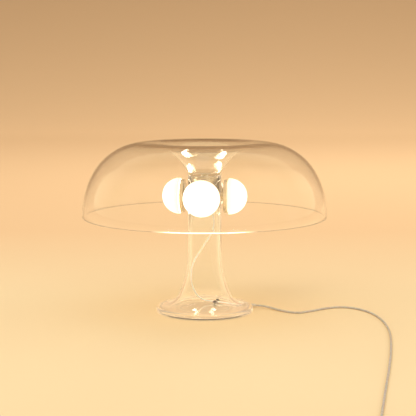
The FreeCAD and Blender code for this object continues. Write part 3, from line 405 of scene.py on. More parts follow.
@dataclass(frozen=True)
class TranslucentSheath(Finish):
    """Extruded translucent PVC over two bright strands: pale, waxy, with light inside its wall."""
    low: str = "#B9AE9D"
    high: str = "#CBC1B0"
    head_light: float = 0.0
    ripple: float = 3.0

    def surface(self, shading: Shading) -> Socket:
        """Satin skin with light scattered about a millimetre under it."""
        drift = shading.noise(self.ripple, 2.0)
        return shading.principled({
            "Roughness": 0.36, "IOR": 1.52, "Subsurface Weight": 0.35, "Subsurface Scale": 0.0012,
            "Emission Color": linear(self.high), "Emission Strength": self.head_light,
            "Base Color": shading.blend(drift, self.low, self.high), "Normal": shading.bump(drift, 0.02)})


@dataclass(frozen=True)
class CircuitBoard(Finish):
    """Glass-fibre board under green solder resist: coloured lacquer with a raised pad at each grid step."""
    lacquer_low: str = "#12512C"
    lacquer_high: str = "#17673A"
    pads: str = "#C9B37A"
    pitch: float = 2.54
    pad: float = 0.18

    def surface(self, shading: Shading) -> Socket:
        """Lacquer with a spot in each cell of the board's grid."""
        cells = add_node(shading.tree, "ShaderNodeTexVoronoi", {
            "Scale": 1 / (self.pitch * MM), "Vector": shading.place})
        spot = shading.calculate(Operation.LESS, cells.outputs["Distance"], self.pad)
        lacquer = shading.blend(shading.noise(4.0), self.lacquer_low, self.lacquer_high)
        return shading.principled({
            "Roughness": 0.3, "IOR": 1.5, "Base Color": shading.mix(spot, lacquer, self.pads),
            "Normal": shading.bump(spot, 0.03)})


@dataclass(frozen=True)
class LedBoard(Finish):
    """Aluminium-core board in white solder resist, with yellow phosphor on its raised chips."""
    resist_low: str = "#DEDCD6"
    resist_high: str = "#ECEAE5"
    phosphor: str = "#E8C33C"
    chip_distance: float = 33.0

    def surface(self, shading: Shading) -> Socket:
        """White lacquer that turns to phosphor past the board's face."""
        raised = shading.calculate(Operation.GREATER, shading.along_arms(), self.chip_distance * MM)
        fine = shading.noise(1.2)
        resist = shading.blend(fine, self.resist_low, self.resist_high)
        return shading.principled({
            "Roughness": 0.35, "Base Color": shading.mix(raised, resist, self.phosphor),
            "Normal": shading.bump(fine, 0.01)})


@dataclass(frozen=True)
class SleevedPin(Finish):
    """Nickel-plated brass pin with a moulded insulating sleeve over its root."""
    root: Triple = (0.0, 0.0, 0.0)
    heading: float = 0.0
    sleeve: float = 10.0
    metal: str = "#C9C4B6"
    skin: str = "#2B2B2B"

    def surface(self, shading: Shading) -> Socket:
        """Plastic up to the sleeve's end and bright metal past it."""
        from_root = add_node(shading.tree, "ShaderNodeVectorMath", {
            "operation": "SUBTRACT", 0: shading.place, 1: tuple(v * MM for v in self.root)}).outputs[0]
        travel = add_node(shading.tree, "ShaderNodeVectorMath", {
            "operation": "DOT_PRODUCT", 0: from_root, 1: tuple(plan_way(self.heading))}).outputs["Value"]
        bare = shading.calculate(Operation.GREATER, travel, self.sleeve * MM)
        rub = shading.noise(0.8, 2.0)
        return shading.principled({
            "Base Color": shading.mix(bare, self.skin, self.metal), "Metallic": bare,
            "Roughness": shading.mapped(rub, 0.0, 1.0, 0.2, 0.36), "Normal": shading.bump(rub, 0.004)})


CLEAR = ClearAcrylic("Clear acrylic, injection moulded", "clear_acrylic")
RIM_LIT = ClearAcrylic("Clear acrylic, moulded and lit in its rim", "clear_acrylic",
                       wall_glow=0.04, low_glow=0.12, low_band=(128.6, 127.4), front_glow=0.8)
EDGE_LIT = ClearAcrylic("Clear acrylic, moulded and lit along its walls", "clear_acrylic",
                        wall_glow=0.15, low_glow=0.1)
CLEAR_CLAMP = ClearAcrylic("Clear polycarbonate, moulded clamp", "clear_clamp", "#F3EFE6", "#FAF7F0",
                           flow_size=6.0, flow_depth=0.02)
OPAL = OpalAcrylic("Opal acrylic, blown and lit from inside", "opal_diffuser")
POLISHED = TurnedMetal("Stainless steel, turned and polished", "polished_metal")
BLACK_SCREW = TurnedMetal("Steel, black oxide", "dark_screw", "#16130F", "#241F1A", 0.3, 0.45)
ZINC_SCREW = TurnedMetal("Steel, zinc plated", "steel_screw", "#A3A29C", "#BDBCB7", 0.2, 0.34)
SHEATH = TranslucentSheath("PVC sheath, translucent, extruded", "pale_lead")
# Its paler colours and its glow are painted light: the light that the four heads send down the stem, most of
# which a traced path misses.
SHEATH_LIT = TranslucentSheath("PVC sheath, translucent, lit inside the stem", "pale_lead",
                               "#FBEACD", "#FFF2DA", head_light=0.28)
SLEEVE_PVC = MouldedPlastic("Soft PVC, pale moulded sleeve", "soft_boot", "#D3C8B3", "#DED4C0",
                            0.5, 0.9, 0.015)
SOFT_PVC = MouldedPlastic("Soft PVC, moulded boot", "soft_boot", "#B4AFA4", "#BFBAB0", 0.55, 0.9, 0.015)
SILICONE = MouldedPlastic("Silicone, moulded washer", "soft_washer", "#CDC9C1", "#D8D4CC", 0.6, 1.4, 0.01)
SWITCH_CASE = MouldedPlastic("ABS, spark-eroded grain", "switch_plastic", "#C4C1B7", "#CECBC1")
SWITCH_KEY = MouldedPlastic("ABS, polished button", "button_plastic", "#DAD8D0", "#E2E0D9", 0.2, 3.0, 0.004)
SUPPLY_CASE = MouldedPlastic("Polycarbonate, fine grain", "supply_plastic", "#CFCCC4", "#D9D6CE", 0.45, 0.9)
BLACK_BLOCK = MouldedPlastic("Nylon, moulded black", "contact_plastic", "#1A1A1A", "#242424", 0.5)
WIRE = MouldedPlastic("PVC wire insulation", "wire_insulation", "#D6D4CC", "#E2E0D8", 0.35, 2.0, 0.01)
GREEN_BOARD = CircuitBoard("Glass-fibre board, green solder resist", "circuit_board")
WHITE_BOARD = LedBoard("Aluminium board, white solder resist", "board_aluminium")


# ---- Mesh helpers ----------------------------------------------------------------------------------
class Element(Enum):
    """What edit mode selects."""
    VERTICES = "VERT"
    EDGES = "EDGE"
    FACES = "FACE"


class Combine(Enum):
    """How one closed mesh acts on another."""
    CUT = "DIFFERENCE"
    FUSE = "UNION"


def clear_selection() -> None:
    """Deselect every object."""
    bpy.ops.object.select_all(action="DESELECT")


def choose(piece: Piece) -> None:
    """Select one piece alone and make it the active one."""
    clear_selection()
    bpy.context.view_layer.objects.active = piece
    piece.select_set(True)


def named(name: str) -> Piece:
    """Name the object that an operator has just added, and its mesh.

    Args:
        name: the piece's plain name.

    Returns:
        The object.
    """
    piece = bpy.context.object
    piece.name = name
    piece.data.name = name
    return piece


def enter_edit(piece: Piece, element: Element = Element.VERTICES) -> None:
    """Open a piece in edit mode with all of it selected.

    Args:
        piece: mesh object.
        element: what is selected in it.
    """
    choose(piece)
    bpy.ops.object.mode_set(mode="EDIT")
    bpy.ops.mesh.select_mode(type=element.value)
    bpy.ops.mesh.select_all(action="SELECT")


def leave_edit() -> None:
    """Go back to object mode."""
    bpy.ops.object.mode_set(mode="OBJECT")


def pick(piece: Piece, element: Element, test: Test) -> None:
    """Select the edges or faces of the edited piece that pass a test.

    Args:
        piece: object in edit mode.
        element: EDGES or FACES.
        test: takes an element's middle in millimetres, and an edge's direction or a face's normal.
    """
    mesh = bmesh.from_edit_mesh(piece.data)
    bpy.ops.mesh.select_all(action="DESELECT")
    for item in mesh.edges if element is Element.EDGES else mesh.faces:
        if element is Element.EDGES:
            start, end = (vertex.co for vertex in item.verts)
            middle, way = (start + end) / 2, (end - start).normalized()
        else:
            middle, way = item.calc_center_median(), item.normal
        if test(middle / MM, way):
            item.select_set(True)
    mesh.select_flush_mode()
    bmesh.update_edit_mesh(piece.data)


def round_edges(piece: Piece, test: Test, width_mm: float, segments: int) -> None:
    """Round the edges of the edited piece that pass a test.

    Args:
        piece: object in edit mode.
        test: as for pick.
        width_mm: how far the rounding reaches.
        segments: faces across it.
    """
    pick(piece, Element.EDGES, test)
    bpy.ops.mesh.bevel(offset=width_mm * MM, segments=segments, affect="EDGES")


def apply_modifier(piece: Piece, kind: str, settings: dict) -> None:
    """Add a modifier to a piece and apply it.

    Args:
        piece: object to change.
        kind: Blender's type name of the modifier.
        settings: the modifier's properties.
    """
    choose(piece)
    modifier = piece.modifiers.new(kind.title(), kind)
    for key, value in settings.items():
        setattr(modifier, key, value)
    bpy.ops.object.modifier_apply(modifier=modifier.name)


def soften(piece: Piece, width_mm: float, above: float = 50.0) -> None:
    """Round a piece's sharp edges with a small bevel.

    Args:
        piece: object to change.
        width_mm: width of the bevel.
        above: least angle of an edge that is rounded, in degrees.
    """
    apply_modifier(piece, "BEVEL", {"width": width_mm * MM, "segments": 2, "limit_method": "ANGLE",
                                    "angle_limit": math.radians(above)})


def combine(piece: Piece, others: Iterable[Piece], how: Combine = Combine.CUT) -> None:
    """Cut other meshes out of a piece or fuse them to it, and delete them.

    Args:
        piece: object to change.
        others: closed meshes.
        how: whether they are cut or fused.
    """
    for other in others:
        apply_modifier(piece, "BOOLEAN", {"operation": how.value, "object": other, "solver": "EXACT"})
        bpy.data.objects.remove(other)


def settle(piece: Piece, smooth_below: float = 32.0, place: Matrix | None = None) -> Piece:
    """Put a piece's place into its mesh and smooth its gentle edges.

    Args:
        piece: object to finish.
        smooth_below: edges under this angle, in degrees, are shaded smooth.
        place: matrix in metres, where the piece doesn't have its place yet.

    Returns:
        The same object.
    """
    if place:
        piece.matrix_world = place
    choose(piece)
    bpy.ops.object.transform_apply(location=True, rotation=True, scale=True)
    bpy.ops.object.shade_smooth_by_angle(angle=math.radians(smooth_below))
    return piece


def dress(piece: Piece, finish: Finish, body: str, *nodes: str) -> Piece:
    """Give a piece its finish, the body that it rides on and the CAD nodes that it stands for.

    Args:
        piece: finished object.
        finish: its finish.
        body: name of the CAD body.
        nodes: names of the CAD nodes that it replaces.

    Returns:
        The same object.
    """
    piece.data.materials.clear()
    piece.data.materials.append(finish.material())
    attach(piece, body)
    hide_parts(*nodes)
    log.info("%s rides on %s", piece.name, body)
    return piece


def dress_node(node: str, finish: Finish) -> None:
    """Give a CAD node that keeps its own shape a finish."""
    for slot in frame["nodes"][node].material_slots:
        slot.material = finish.material()


def turned(name: str, outline: Sequence[Pair], steps: int = 96) -> Piece:
    """Turned piece about +Z, spun from its closed outline.

    Args:
        name: the piece's name.
        outline: corners as (radius, height) in millimetres, in order round the outline.
        steps: faces round the axis.

    Returns:
        The new object, closed, with its faces pointing outwards.
    """
    clear_selection()
    bpy.ops.mesh.primitive_plane_add(size=MM, location=(0, 0, 0))
    piece = named(name)
    enter_edit(piece)
    bpy.ops.mesh.merge(type="CENTER")
    here = Vector((outline[0][0], 0, outline[0][1])) * MM
    bpy.ops.transform.translate(value=here)
    for radius, height in outline[1:]:
        there = Vector((radius, 0, height)) * MM
        bpy.ops.mesh.extrude_vertices_move(TRANSFORM_OT_translate={"value": there - here})
        here = there
    mesh = bmesh.from_edit_mesh(piece.data)
    mesh.verts.ensure_lookup_table()
    lone = [vertex for vertex in mesh.verts if len(vertex.link_edges) == 1]
    bpy.ops.mesh.select_all(action="DESELECT")
    for vertex in lone:
        vertex.select_set(True)
    bmesh.update_edit_mesh(piece.data)
    bpy.ops.mesh.edge_face_add()
    bpy.ops.mesh.select_all(action="SELECT")
    bpy.ops.mesh.spin(steps=steps, angle=math.tau, use_auto_merge=True, center=(0, 0, 0), axis=(0, 0, 1))
    bpy.ops.mesh.select_all(action="SELECT")
    bpy.ops.mesh.remove_doubles(threshold=1e-6)
    bpy.ops.mesh.dissolve_degenerate(threshold=1e-7)
    bpy.ops.mesh.select_all(action="SELECT")
    bpy.ops.mesh.normals_make_consistent(inside=False)
    leave_edit()
    return piece


def rod(name: str, radius: float, length: float, start: Vector, way: Vector, sides: int = 48) -> Piece:
    """Plain round used as a cutter, from a start along a way.

    Args:
        name: its name.
        radius: radius in millimetres.
        length: length in millimetres.
        start: middle of its first end, in millimetres.
        way: direction of its axis.
        sides: faces round it.

    Returns:
        The new object.
    """
    clear_selection()
    way = way.normalized()
    bpy.ops.mesh.primitive_cylinder_add(
        vertices=sides, radius=radius * MM, depth=length * MM, location=(start + way * (length / 2)) * MM,
        rotation=UP.rotation_difference(way).to_euler())
    return named(name)


def block(name: str, size: Triple, middle: Triple) -> Piece:
    """Plain block that a piece starts from, or that cuts one.

    Args:
        name: its name.
        size: length, width and height in millimetres.
        middle: its middle in millimetres.

    Returns:
        The new object, with its size in its mesh.
    """
    clear_selection()
    bpy.ops.mesh.primitive_cube_add(size=1, location=Vector(middle) * MM, scale=Vector(size) * MM)
    piece = named(name)
    bpy.ops.object.transform_apply(location=True, rotation=True, scale=True)
    return piece


def copied(piece: Piece, name: str, place: Matrix) -> Piece:
    """Copy of a piece with a mesh of its own, moved by a matrix.

    Args:
        piece: object to copy.
        name: the copy's name.
        place: matrix in metres.

    Returns:
        The copy, with its place still on the object.
    """
    twin = piece.copy()
    twin.data = piece.data.copy()
    twin.name = name
    twin.data.name = name
    bpy.context.scene.collection.objects.link(twin)
    twin.matrix_world = place
    return twin


def joined(name: str, pieces: Sequence[Piece]) -> Piece:
    """Join several meshes into one piece.

    Args:
        name: the piece's name.
        pieces: objects to join.

    Returns:
        The joined object.
    """
    clear_selection()
    for piece in pieces:
        piece.select_set(True)
    bpy.context.view_layer.objects.active = pieces[0]
    bpy.ops.object.join()
    return named(name)


def plan_way(angle: float) -> Vector:
    """Unit vector in plan at an angle in degrees."""
    return Vector((math.cos(math.radians(angle)), math.sin(math.radians(angle)), 0))


def plan_angle(way: Vector) -> float:
    """Plan angle of a direction in degrees."""
    return math.degrees(math.atan2(way.y, way.x))


def moved(position: Vector) -> Matrix:
    """Matrix, in metres, that moves a piece by millimetres."""
    return Matrix.Translation(position * MM)


def rotated(angle: float, axis: str) -> Matrix:
    """Matrix that turns a piece about X, Y or Z by degrees."""
    return Matrix.Rotation(math.radians(angle), 4, axis)


def set_down(position: Vector, angle: float) -> Matrix:
    """Matrix, in metres, that turns a piece about Z by degrees and then moves it by millimetres."""
    return moved(position) @ rotated(angle, "Z")


def arc_chain(start: Pair, heading: float, steps: Sequence[Pair], offset: float = 0.0) -> list[Pair]:
    """Points along tangent lines and arcs, moved to the left of the way by an offset.

    Args:
        start: first point of the chain that isn't moved.
        heading: its way in degrees.
        steps: (length, 0) for a line, or (radius, turn) for an arc that turns left for a plus.
        offset: distance to the left.

    Returns:
        The points, in millimetres.
    """
    left = math.radians(heading + 90)
    x, z = start[0] + math.cos(left) * offset, start[1] + math.sin(left) * offset
    points = [(x, z)]
    for size, turn in steps:
        if turn == 0:
            x += math.cos(math.radians(heading)) * size
            z += math.sin(math.radians(heading)) * size
            points.append((x, z))
            continue
        side = math.copysign(1, turn)
        radius = size - side * offset
        inward = math.radians(heading + 90 * side)
        middle = (x + math.cos(inward) * radius, z + math.sin(inward) * radius)
        count = max(3, math.ceil(abs(turn) / ARC_STEP))
        for index in range(1, count + 1):
            at = math.radians(heading - 90 * side + turn * index / count)
            points.append((middle[0] + math.cos(at) * radius, middle[1] + math.sin(at) * radius))
        x, z = points[-1]
        heading += turn
    return points


def neck_ways(radius: float, length: float, start: float, sides: int) -> list[Piece]:
    """Cutters for the necks of the four lights.

    Args:
        radius: radius in millimetres.
        length: length of each.
        start: how far from the stem's axis each begins.
        sides: faces round each.

    Returns:
        The four rods.
    """
    ways = [plan_way(ARM_TURN + 90 * index) for index in range(4)]
    return [rod("neck_way", radius, length, way * start + UP * LIGHT_Z, way, sides) for way in ways]


def pan_screw(name: str, head_radius: float, head: float, shank_radius: float, depth: float) -> Piece:
    """Pan-head screw with a cross recess, standing on its seat at the origin.

    Args:
        name: its name.
        head_radius: radius of the head in millimetres.
        head: height of the head.
        shank_radius: radius of the shank.
        depth: length of the shank under the seat.

    Returns:
        The new object.
    """
    screw = turned(name, [
        (0, head), (head_radius * 0.5, head * 0.97), (head_radius * 0.82, head * 0.8),
        (head_radius * 0.97, head * 0.5), (head_radius, head * 0.2), (head_radius, 0), (shank_radius, 0),
        (shank_radius, -depth + 0.4), (shank_radius * 0.6, -depth), (0, -depth)], 40)
    reach, width = 2 * head_radius * 0.62, head_radius * 0.24
    combine(screw, [block("recess_arm", (reach, width, head), (0, 0, head)),
                    block("recess_arm", (width, reach, head), (0, 0, head))])
    return screw


def ribbed_taper(root: float, tip: float, length: float, rings: int) -> list[Pair]:
    """Closed outline of a tapered boot with rounded rings and a bore for the cord.

    Args:
        root: radius at the case.
        tip: radius at the tip.
        length: length outside the case.
        rings: number of grooves.

    Returns:
        (radius, distance) pairs.
    """
    inside, bore = -3.0, 1.25
    points = [(root, inside), (root, 0.0)]
    pitch = length / (rings + 1)
    for index in range(rings):
        start = pitch * (index + 0.6)
        for distance, depth in ((0.0, 0.0), (0.12, 0.4), (0.34, 0.4), (0.46, 0.0)):
            at = start + distance * pitch
            points.append((root + (tip - root) * at / length - depth, at))
    return points + [(tip + 0.02, length - 0.25), (tip - 0.25, length), (bore, length), (bore, inside)]


@dataclass
class CaseShell:
    """Rounded shell of a moulded case, closed at one end of its axis and open at the other.

    It starts as a block of a size round a middle. Its corners, as a width and a number of faces, run
    along the axis (0 for X, 2 for Z); the rim is what the hollow leaves beside the parting's rounding.
    """
    size: Triple
    middle: Triple
    axis: int
    closed_at: float
    open_at: float
    corner: Pair
    edge: float
    parting: float
    rim: float
    depth: float

    def build(self, name: str) -> Piece:
        """Round a block and hollow it from its open end.

        Args:
            name: the shell's name.

        Returns:
            The shell.
        """
        axis = self.axis
        shell = block(name, self.size, self.middle)
        enter_edit(shell, Element.EDGES)
        round_edges(shell, lambda at, way: abs(way[axis]) > SQUARE_ON, *self.corner)
        round_edges(shell, lambda at, way: abs(at[axis] - self.closed_at) < AT_PLACE, self.edge, 5)
        round_edges(shell, lambda at, way: abs(at[axis] - self.open_at) < AT_PLACE, self.parting, 2)
        pick(shell, Element.FACES,
             lambda at, way: abs(way[axis]) > SQUARE_ON and abs(at[axis] - self.open_at) < AT_PLACE)
        bpy.ops.mesh.inset(thickness=self.rim * MM)
        push = [0.0, 0.0, 0.0]
        push[axis] = math.copysign(self.depth, self.closed_at - self.open_at) * MM
        bpy.ops.mesh.extrude_region_move(TRANSFORM_OT_translate={"value": push})
        leave_edit()
        return shell


# ---- Studio ----------------------------------------------------------------------------------------
@dataclass
class SoftLamp:
    """Square soft lamp that the camera, mirrors and clear walls don't see; metres and watts."""
    name: str
    place: Triple
    size: float
    power: float
    aim: Triple = (0.0, 0.0, 0.12)

    def build(self) -> None:
        """Add the lamp, turned to its aim."""
        data = bpy.data.lights.new(self.name, "AREA")
        data.shape = "SQUARE"
        data.size = self.size
        data.energy = self.power
        lamp = bpy.data.objects.new(self.name, data)
        lamp.location = self.place
        lamp.rotation_euler = (Vector(self.aim) - Vector(self.place)).to_track_quat("-Z", "Y").to_euler()
        lamp.visible_camera = lamp.visible_glossy = lamp.visible_transmission = False
        bpy.context.scene.collection.objects.link(lamp)


@dataclass
class Studio:
    """Camera at the photograph's angle, pale sweep of floor and wall, and soft lamps."""
    camera_place: Triple = (4.4, -1418.0, 318.0)
    camera_drop: float = 7.28
    lens: float = 94.3
    floor_low: str = "#F1D4A3"
    floor_high: str = "#F4D8A7"
    wall: str = "#EEC694"
    shaded_wall_top: str = "#B9966E"
    ceiling: str = "#F2D2A2"
    light: str = "#FFFCF8"
    light_strength: float = 0.91
    sweep_size: float = 14000.0
    wall_y: float = 6000.0
    wall_height: float = 6000.0
    sweep_radius: float = 2500.0
    to_wall: Pair = (100.0, 700.0)
    to_shaded_wall_top: Pair = (3800.0, 5600.0)

    def build(self) -> None:
        """Make the camera, the sweep, the lamps and the world."""
        data = bpy.data.cameras.new("camera")
        data.lens = self.lens
        data.sensor_width = 36.0
        data.clip_start, data.clip_end = 0.05, 30.0
        camera = bpy.data.objects.new("camera", data)
        camera.location = Vector(self.camera_place) * MM
        camera.rotation_euler = (math.radians(90 - self.camera_drop), 0, 0)
        bpy.context.scene.collection.objects.link(camera)
        bpy.context.scene.camera = camera
        bpy.context.scene.view_settings.view_transform = "Standard"
        self.build_sweep()
        for lamp in (SoftLamp("key_softbox", (-1.3, -1.5, 1.9), 1.1, 16.0),
                     SoftLamp("fill_softbox", (1.9, -0.7, 1.1), 1.0, 6.0),
                     SoftLamp("back_softbox", (0.4, 1.7, 1.6), 1.2, 7.0),
                     SoftLamp("wall_wash", (1.0, 2.2, 2.2), 1.6, 21.0, (0.5, 4.3, 0.1))):
            lamp.build()
        self.build_world()

    def build_sweep(self) -> None:
        """Floor of painted board that curves up into a wall far behind the lamp, darker up the wall by
        painted shade.
        """
        clear_selection()
        bpy.ops.mesh.primitive_plane_add(
            size=self.sweep_size * MM, location=(0, (self.wall_y - self.sweep_size / 2) * MM, 0))
        sweep = named("floor_sweep")
        enter_edit(sweep, Element.EDGES)
        pick(sweep, Element.EDGES, lambda at, way: at.y > self.wall_y - 1)
        bpy.ops.mesh.extrude_region_move(TRANSFORM_OT_translate={"value": (0, 0, self.wall_height * MM)})
        round_edges(sweep, lambda at, way: abs(at.z) < 1 and at.y > self.wall_y - 1, self.sweep_radius, 24)
        leave_edit()
        settle(sweep, 60)
        board = bpy.data.materials.new("Painted board, matt warm cream")
        tree = blank_tree(board)
        shading = Shading(tree, add_node(tree, "ShaderNodeTexCoord").outputs["Object"])
        away = shading.axis("Y")
        colour = shading.blend(shading.noise(600.0, 2.0), self.floor_low, self.floor_high)
        # The colour darkens from the floor to the wall and further to the top of the wall: painted shade,
        # standing for light that falls off away from the lamp.
        for (start, end), reached in ((self.to_wall, self.wall), (self.to_shaded_wall_top, self.shaded_wall_top)):
            colour = shading.mix(shading.mapped(away, start * MM, end * MM), colour, reached)
        matt = shading.principled({"Roughness": 0.9, "Specular IOR Level": 0.15, "Base Color": colour})
        add_node(tree, "ShaderNodeOutputMaterial", {"Surface": matt})
        sweep.data.materials.append(board)

    def build_world(self) -> None:
        """Even surroundings, with a darker ceiling for what sees or mirrors it."""
        world = bpy.data.worlds.new("studio")
        bpy.context.scene.world = world
        tree = blank_tree(world)
        shading = Shading(tree, add_node(tree, "ShaderNodeTexCoord").outputs["Generated"])
        room = shading.blend(shading.axis("Z"), self.floor_high, self.ceiling, 0.15, 0.85)
        seen = add_node(tree, "ShaderNodeBackground", {"Strength": 1.0, "Color": room})
        light = add_node(tree, "ShaderNodeBackground", {
            "Strength": self.light_strength, "Color": linear(self.light)})
        mirrored = shading.calculate(Operation.MAXIMUM, shading.seen(), shading.ray("Is Glossy Ray"))
        both = add_node(tree, "ShaderNodeMixShader", {0: mirrored, 1: light.outputs[0], 2: seen.outputs[0]})
        add_node(tree, "ShaderNodeOutputWorld", {"Surface": both.outputs[0]})


# ---- Leads, with the route points of the part's source ---------------------------------------------
def tube_curve(name: str, points: Sequence[Vector], radius: float) -> Piece:
    """Round lead along a smooth spline with the given control points.

    Args:
        name: the piece's name.
        points: control points in millimetres.
        radius: radius in millimetres.

    Returns:
        The curve object.
    """
    data = bpy.data.curves.new(name, "CURVE")
    data.dimensions = "3D"
    spline = data.splines.new("NURBS")
    spline.points.add(len(points) - 1)
    for place, point in zip(spline.points, points):
        place.co = (*(point * MM), 1.0)
    spline.order_u = 3
    spline.use_endpoint_u = True
    data.resolution_u = 6
    data.bevel_depth = radius * MM
    data.bevel_resolution = 3
    data.use_fill_caps = True
    piece = bpy.data.objects.new(name, data)
    bpy.context.scene.collection.objects.link(piece)
    return piece


@dataclass
class FreeCord:
    """Thin lead from the foot over the table to its switch, its put-away coil and its supply."""
    radius: float = 1.25
    floor_z: float = 1.30
    base_radius: float = 64.0
    exit_angle: float = 15.0
    clamp: Pair = (16.0, 30.0)
    lead_z: float = 3.45
    sleeve: float = 7.0
    on_floor: tuple[Pair, ...] = (
        (99.0, -7.0), (120.0, -24.0), (142.0, -10.0), (162.0, 7.0), (184.0, 15.5), (204.0, 4.0),
        (219.0, -22.0), (226.5, -62.0), (226.5, -116.0), (218.8, -174.0), (208.8, -231.0), (197.6, -288.0),
        (185.4, -345.0), (173.6, -402.0), (166.6, -436.0), (162.2, -457.0))
    to_switch: tuple[Pair, ...] = ((158.7, -478.0), (156.8, -489.4))
    switch_z: float = 7.0
    switch_span: float = 76.0
    coil_start: Pair = (138.0, -602.0)
    coil_inner: float = 10.0
    coil_pitch: float = 3.4
    layer_pitch: float = 3.0
    layer_quarters: tuple[int, ...] = (10, 10, 10, 9)
    quarter_points: int = 4
    tail_bend: Pair = (88.5, -625.0)
    supply_place: Pair = (79.0, -590.0)
    supply_angle: float = 90.0
    supply_mid_z: float = 13.5
    supply_boot: float = 13.0
    supply_inside: float = 22.0
    length: float = 1.863

    @property
    def exit_heading(self) -> Vector:
        """Way in which the lead leaves the foot."""
        return (plan_way(self.exit_angle) * self.base_radius - Vector((*self.clamp, 0))).normalized()

    def exit_line(self, distance: float) -> Vector:
        """Point on the straight way out, measured from the rim of the foot."""
        return plan_way(self.exit_angle) * self.base_radius + self.exit_heading * distance + UP * self.lead_z

    def run_points(self) -> list[Vector]:
        """Points from the sleeve's tip to the switch."""
        return ([self.exit_line(self.sleeve), self.exit_line(20.0)]
                + [Vector((*point, self.floor_z)) for point in self.on_floor]
                + [Vector((*point, self.switch_z)) for point in self.to_switch])

    @property
    def switch_heading(self) -> Vector:
        """Way of the switch's long axis."""
        before, last = self.run_points()[-2:]
        return (last - before).normalized()

    @property
    def switch_place(self) -> Matrix:
        """Matrix that lays a switch, made at the origin, on the cord."""
        middle = self.run_points()[-1] + self.switch_heading * (self.switch_span / 2)
        return set_down(Vector((middle.x, middle.y, 0)), plan_angle(self.switch_heading))

    def coil(self) -> tuple[list[Vector], Vector, Vector]:
        """Lay the coil in layers that wind in and out by turns, with a half-turn climb between two.

        Returns:
            Its points, its end and its heading there.
        """
        outer = self.coil_inner + self.coil_pitch * self.layer_quarters[0] / 4
        middle = Vector((self.coil_start[0] - outer, self.coil_start[1] - 2 * self.radius, self.floor_z))
        parts = self.quarter_points
        swell = 1 / math.cos(math.radians(45 / parts))
        places = []
        angle, radius, height, inward = 0.0, outer, 0.0, -1.0
        for layer, quarters in enumerate(self.layer_quarters):
            for index in range(quarters * parts):
                share = (index + 0.5) / parts
                places.append((angle - 90 * share, radius + inward * self.coil_pitch / 4 * share, height))
            angle -= 90 * quarters
            radius += inward * self.coil_pitch / 4 * quarters
            if layer < len(self.layer_quarters) - 1:
                for index in range(2 * parts):
                    share = (index + 0.5) / (2 * parts)
                    rise = share * share * (3 - 2 * share)
                    places.append((angle - 180 * share, radius, height + self.layer_pitch * rise))
                angle -= 180
                height += self.layer_pitch
            inward = -inward
        points = [middle + plan_way(at) * (reach * swell) + UP * lift for at, reach, lift in places]
        return points, middle + plan_way(angle) * radius + UP * height, plan_way(angle - 90)

    def route(self) -> list[Vector]:
        """All control points of the cord, in order."""
        start = Vector((*self.coil_start, self.floor_z))
        run = self.run_points()
        past_switch = run[-1] + self.switch_heading * self.switch_span
        coil, coil_end, heading = self.coil()
        out = coil_end + heading * (2 * self.radius)
        supply_way = plan_way(self.supply_angle)
        boot_tip = Vector((*self.supply_place, self.supply_mid_z)) - supply_way * self.supply_boot
        return run + [
            past_switch, past_switch + self.switch_heading * 11, start + Vector((0, 12, 0)), start,
            *coil, out, out + heading * 14, Vector((*self.tail_bend, self.supply_mid_z - 1)),
            boot_tip - supply_way * 12.5, boot_tip,
            boot_tip + supply_way * (self.supply_boot + self.supply_inside)]

    def build(self, pieces_on_it: Sequence[Piece]) -> None:
        """Args:
            pieces_on_it: switch, supply and their CAD nodes; not used.
        """
        cord = tube_curve("free_cord", self.route(), self.radius)
        dress(cord, SHEATH, "root", "cord_run", "cord_link", "cord_coil", "cord_tail")


@dataclass
class InnerLead:
    """Slack lead from the hub down the stem, under the clamp and out to the sleeve's tip."""
    board_z: float = 164.4
    hang_z: float = 129.0
    slack: tuple[Triple, ...] = (
        (14.0, 2.0, 115), (7.4, 0, 99), (-2.4, 0, 84.5), (-13.4, 0, 69), (-18.2, 1, 54), (-18.4, 4, 40),
        (-15.5, 11, 26), (-8.0, 23, 12.0))

    def build(self, cord: FreeCord) -> None:
        """Make the lead as a smooth spline inside the stem.

        Args:
            cord: the free cord that it runs on into.
        """
        outlet = plan_way(LEAD_OUTLET[1]) * LEAD_OUTLET[0]
        clamp = Vector((*cord.clamp, cord.lead_z))
        points = [outlet + UP * self.board_z, outlet + UP * self.hang_z, *map(Vector, self.slack),
                  clamp - cord.exit_heading * 10, cord.exit_line(cord.sleeve)]
        dress(tube_curve("lead_in_stem", points, cord.radius), SHEATH_LIT, "root", "inner_lead")


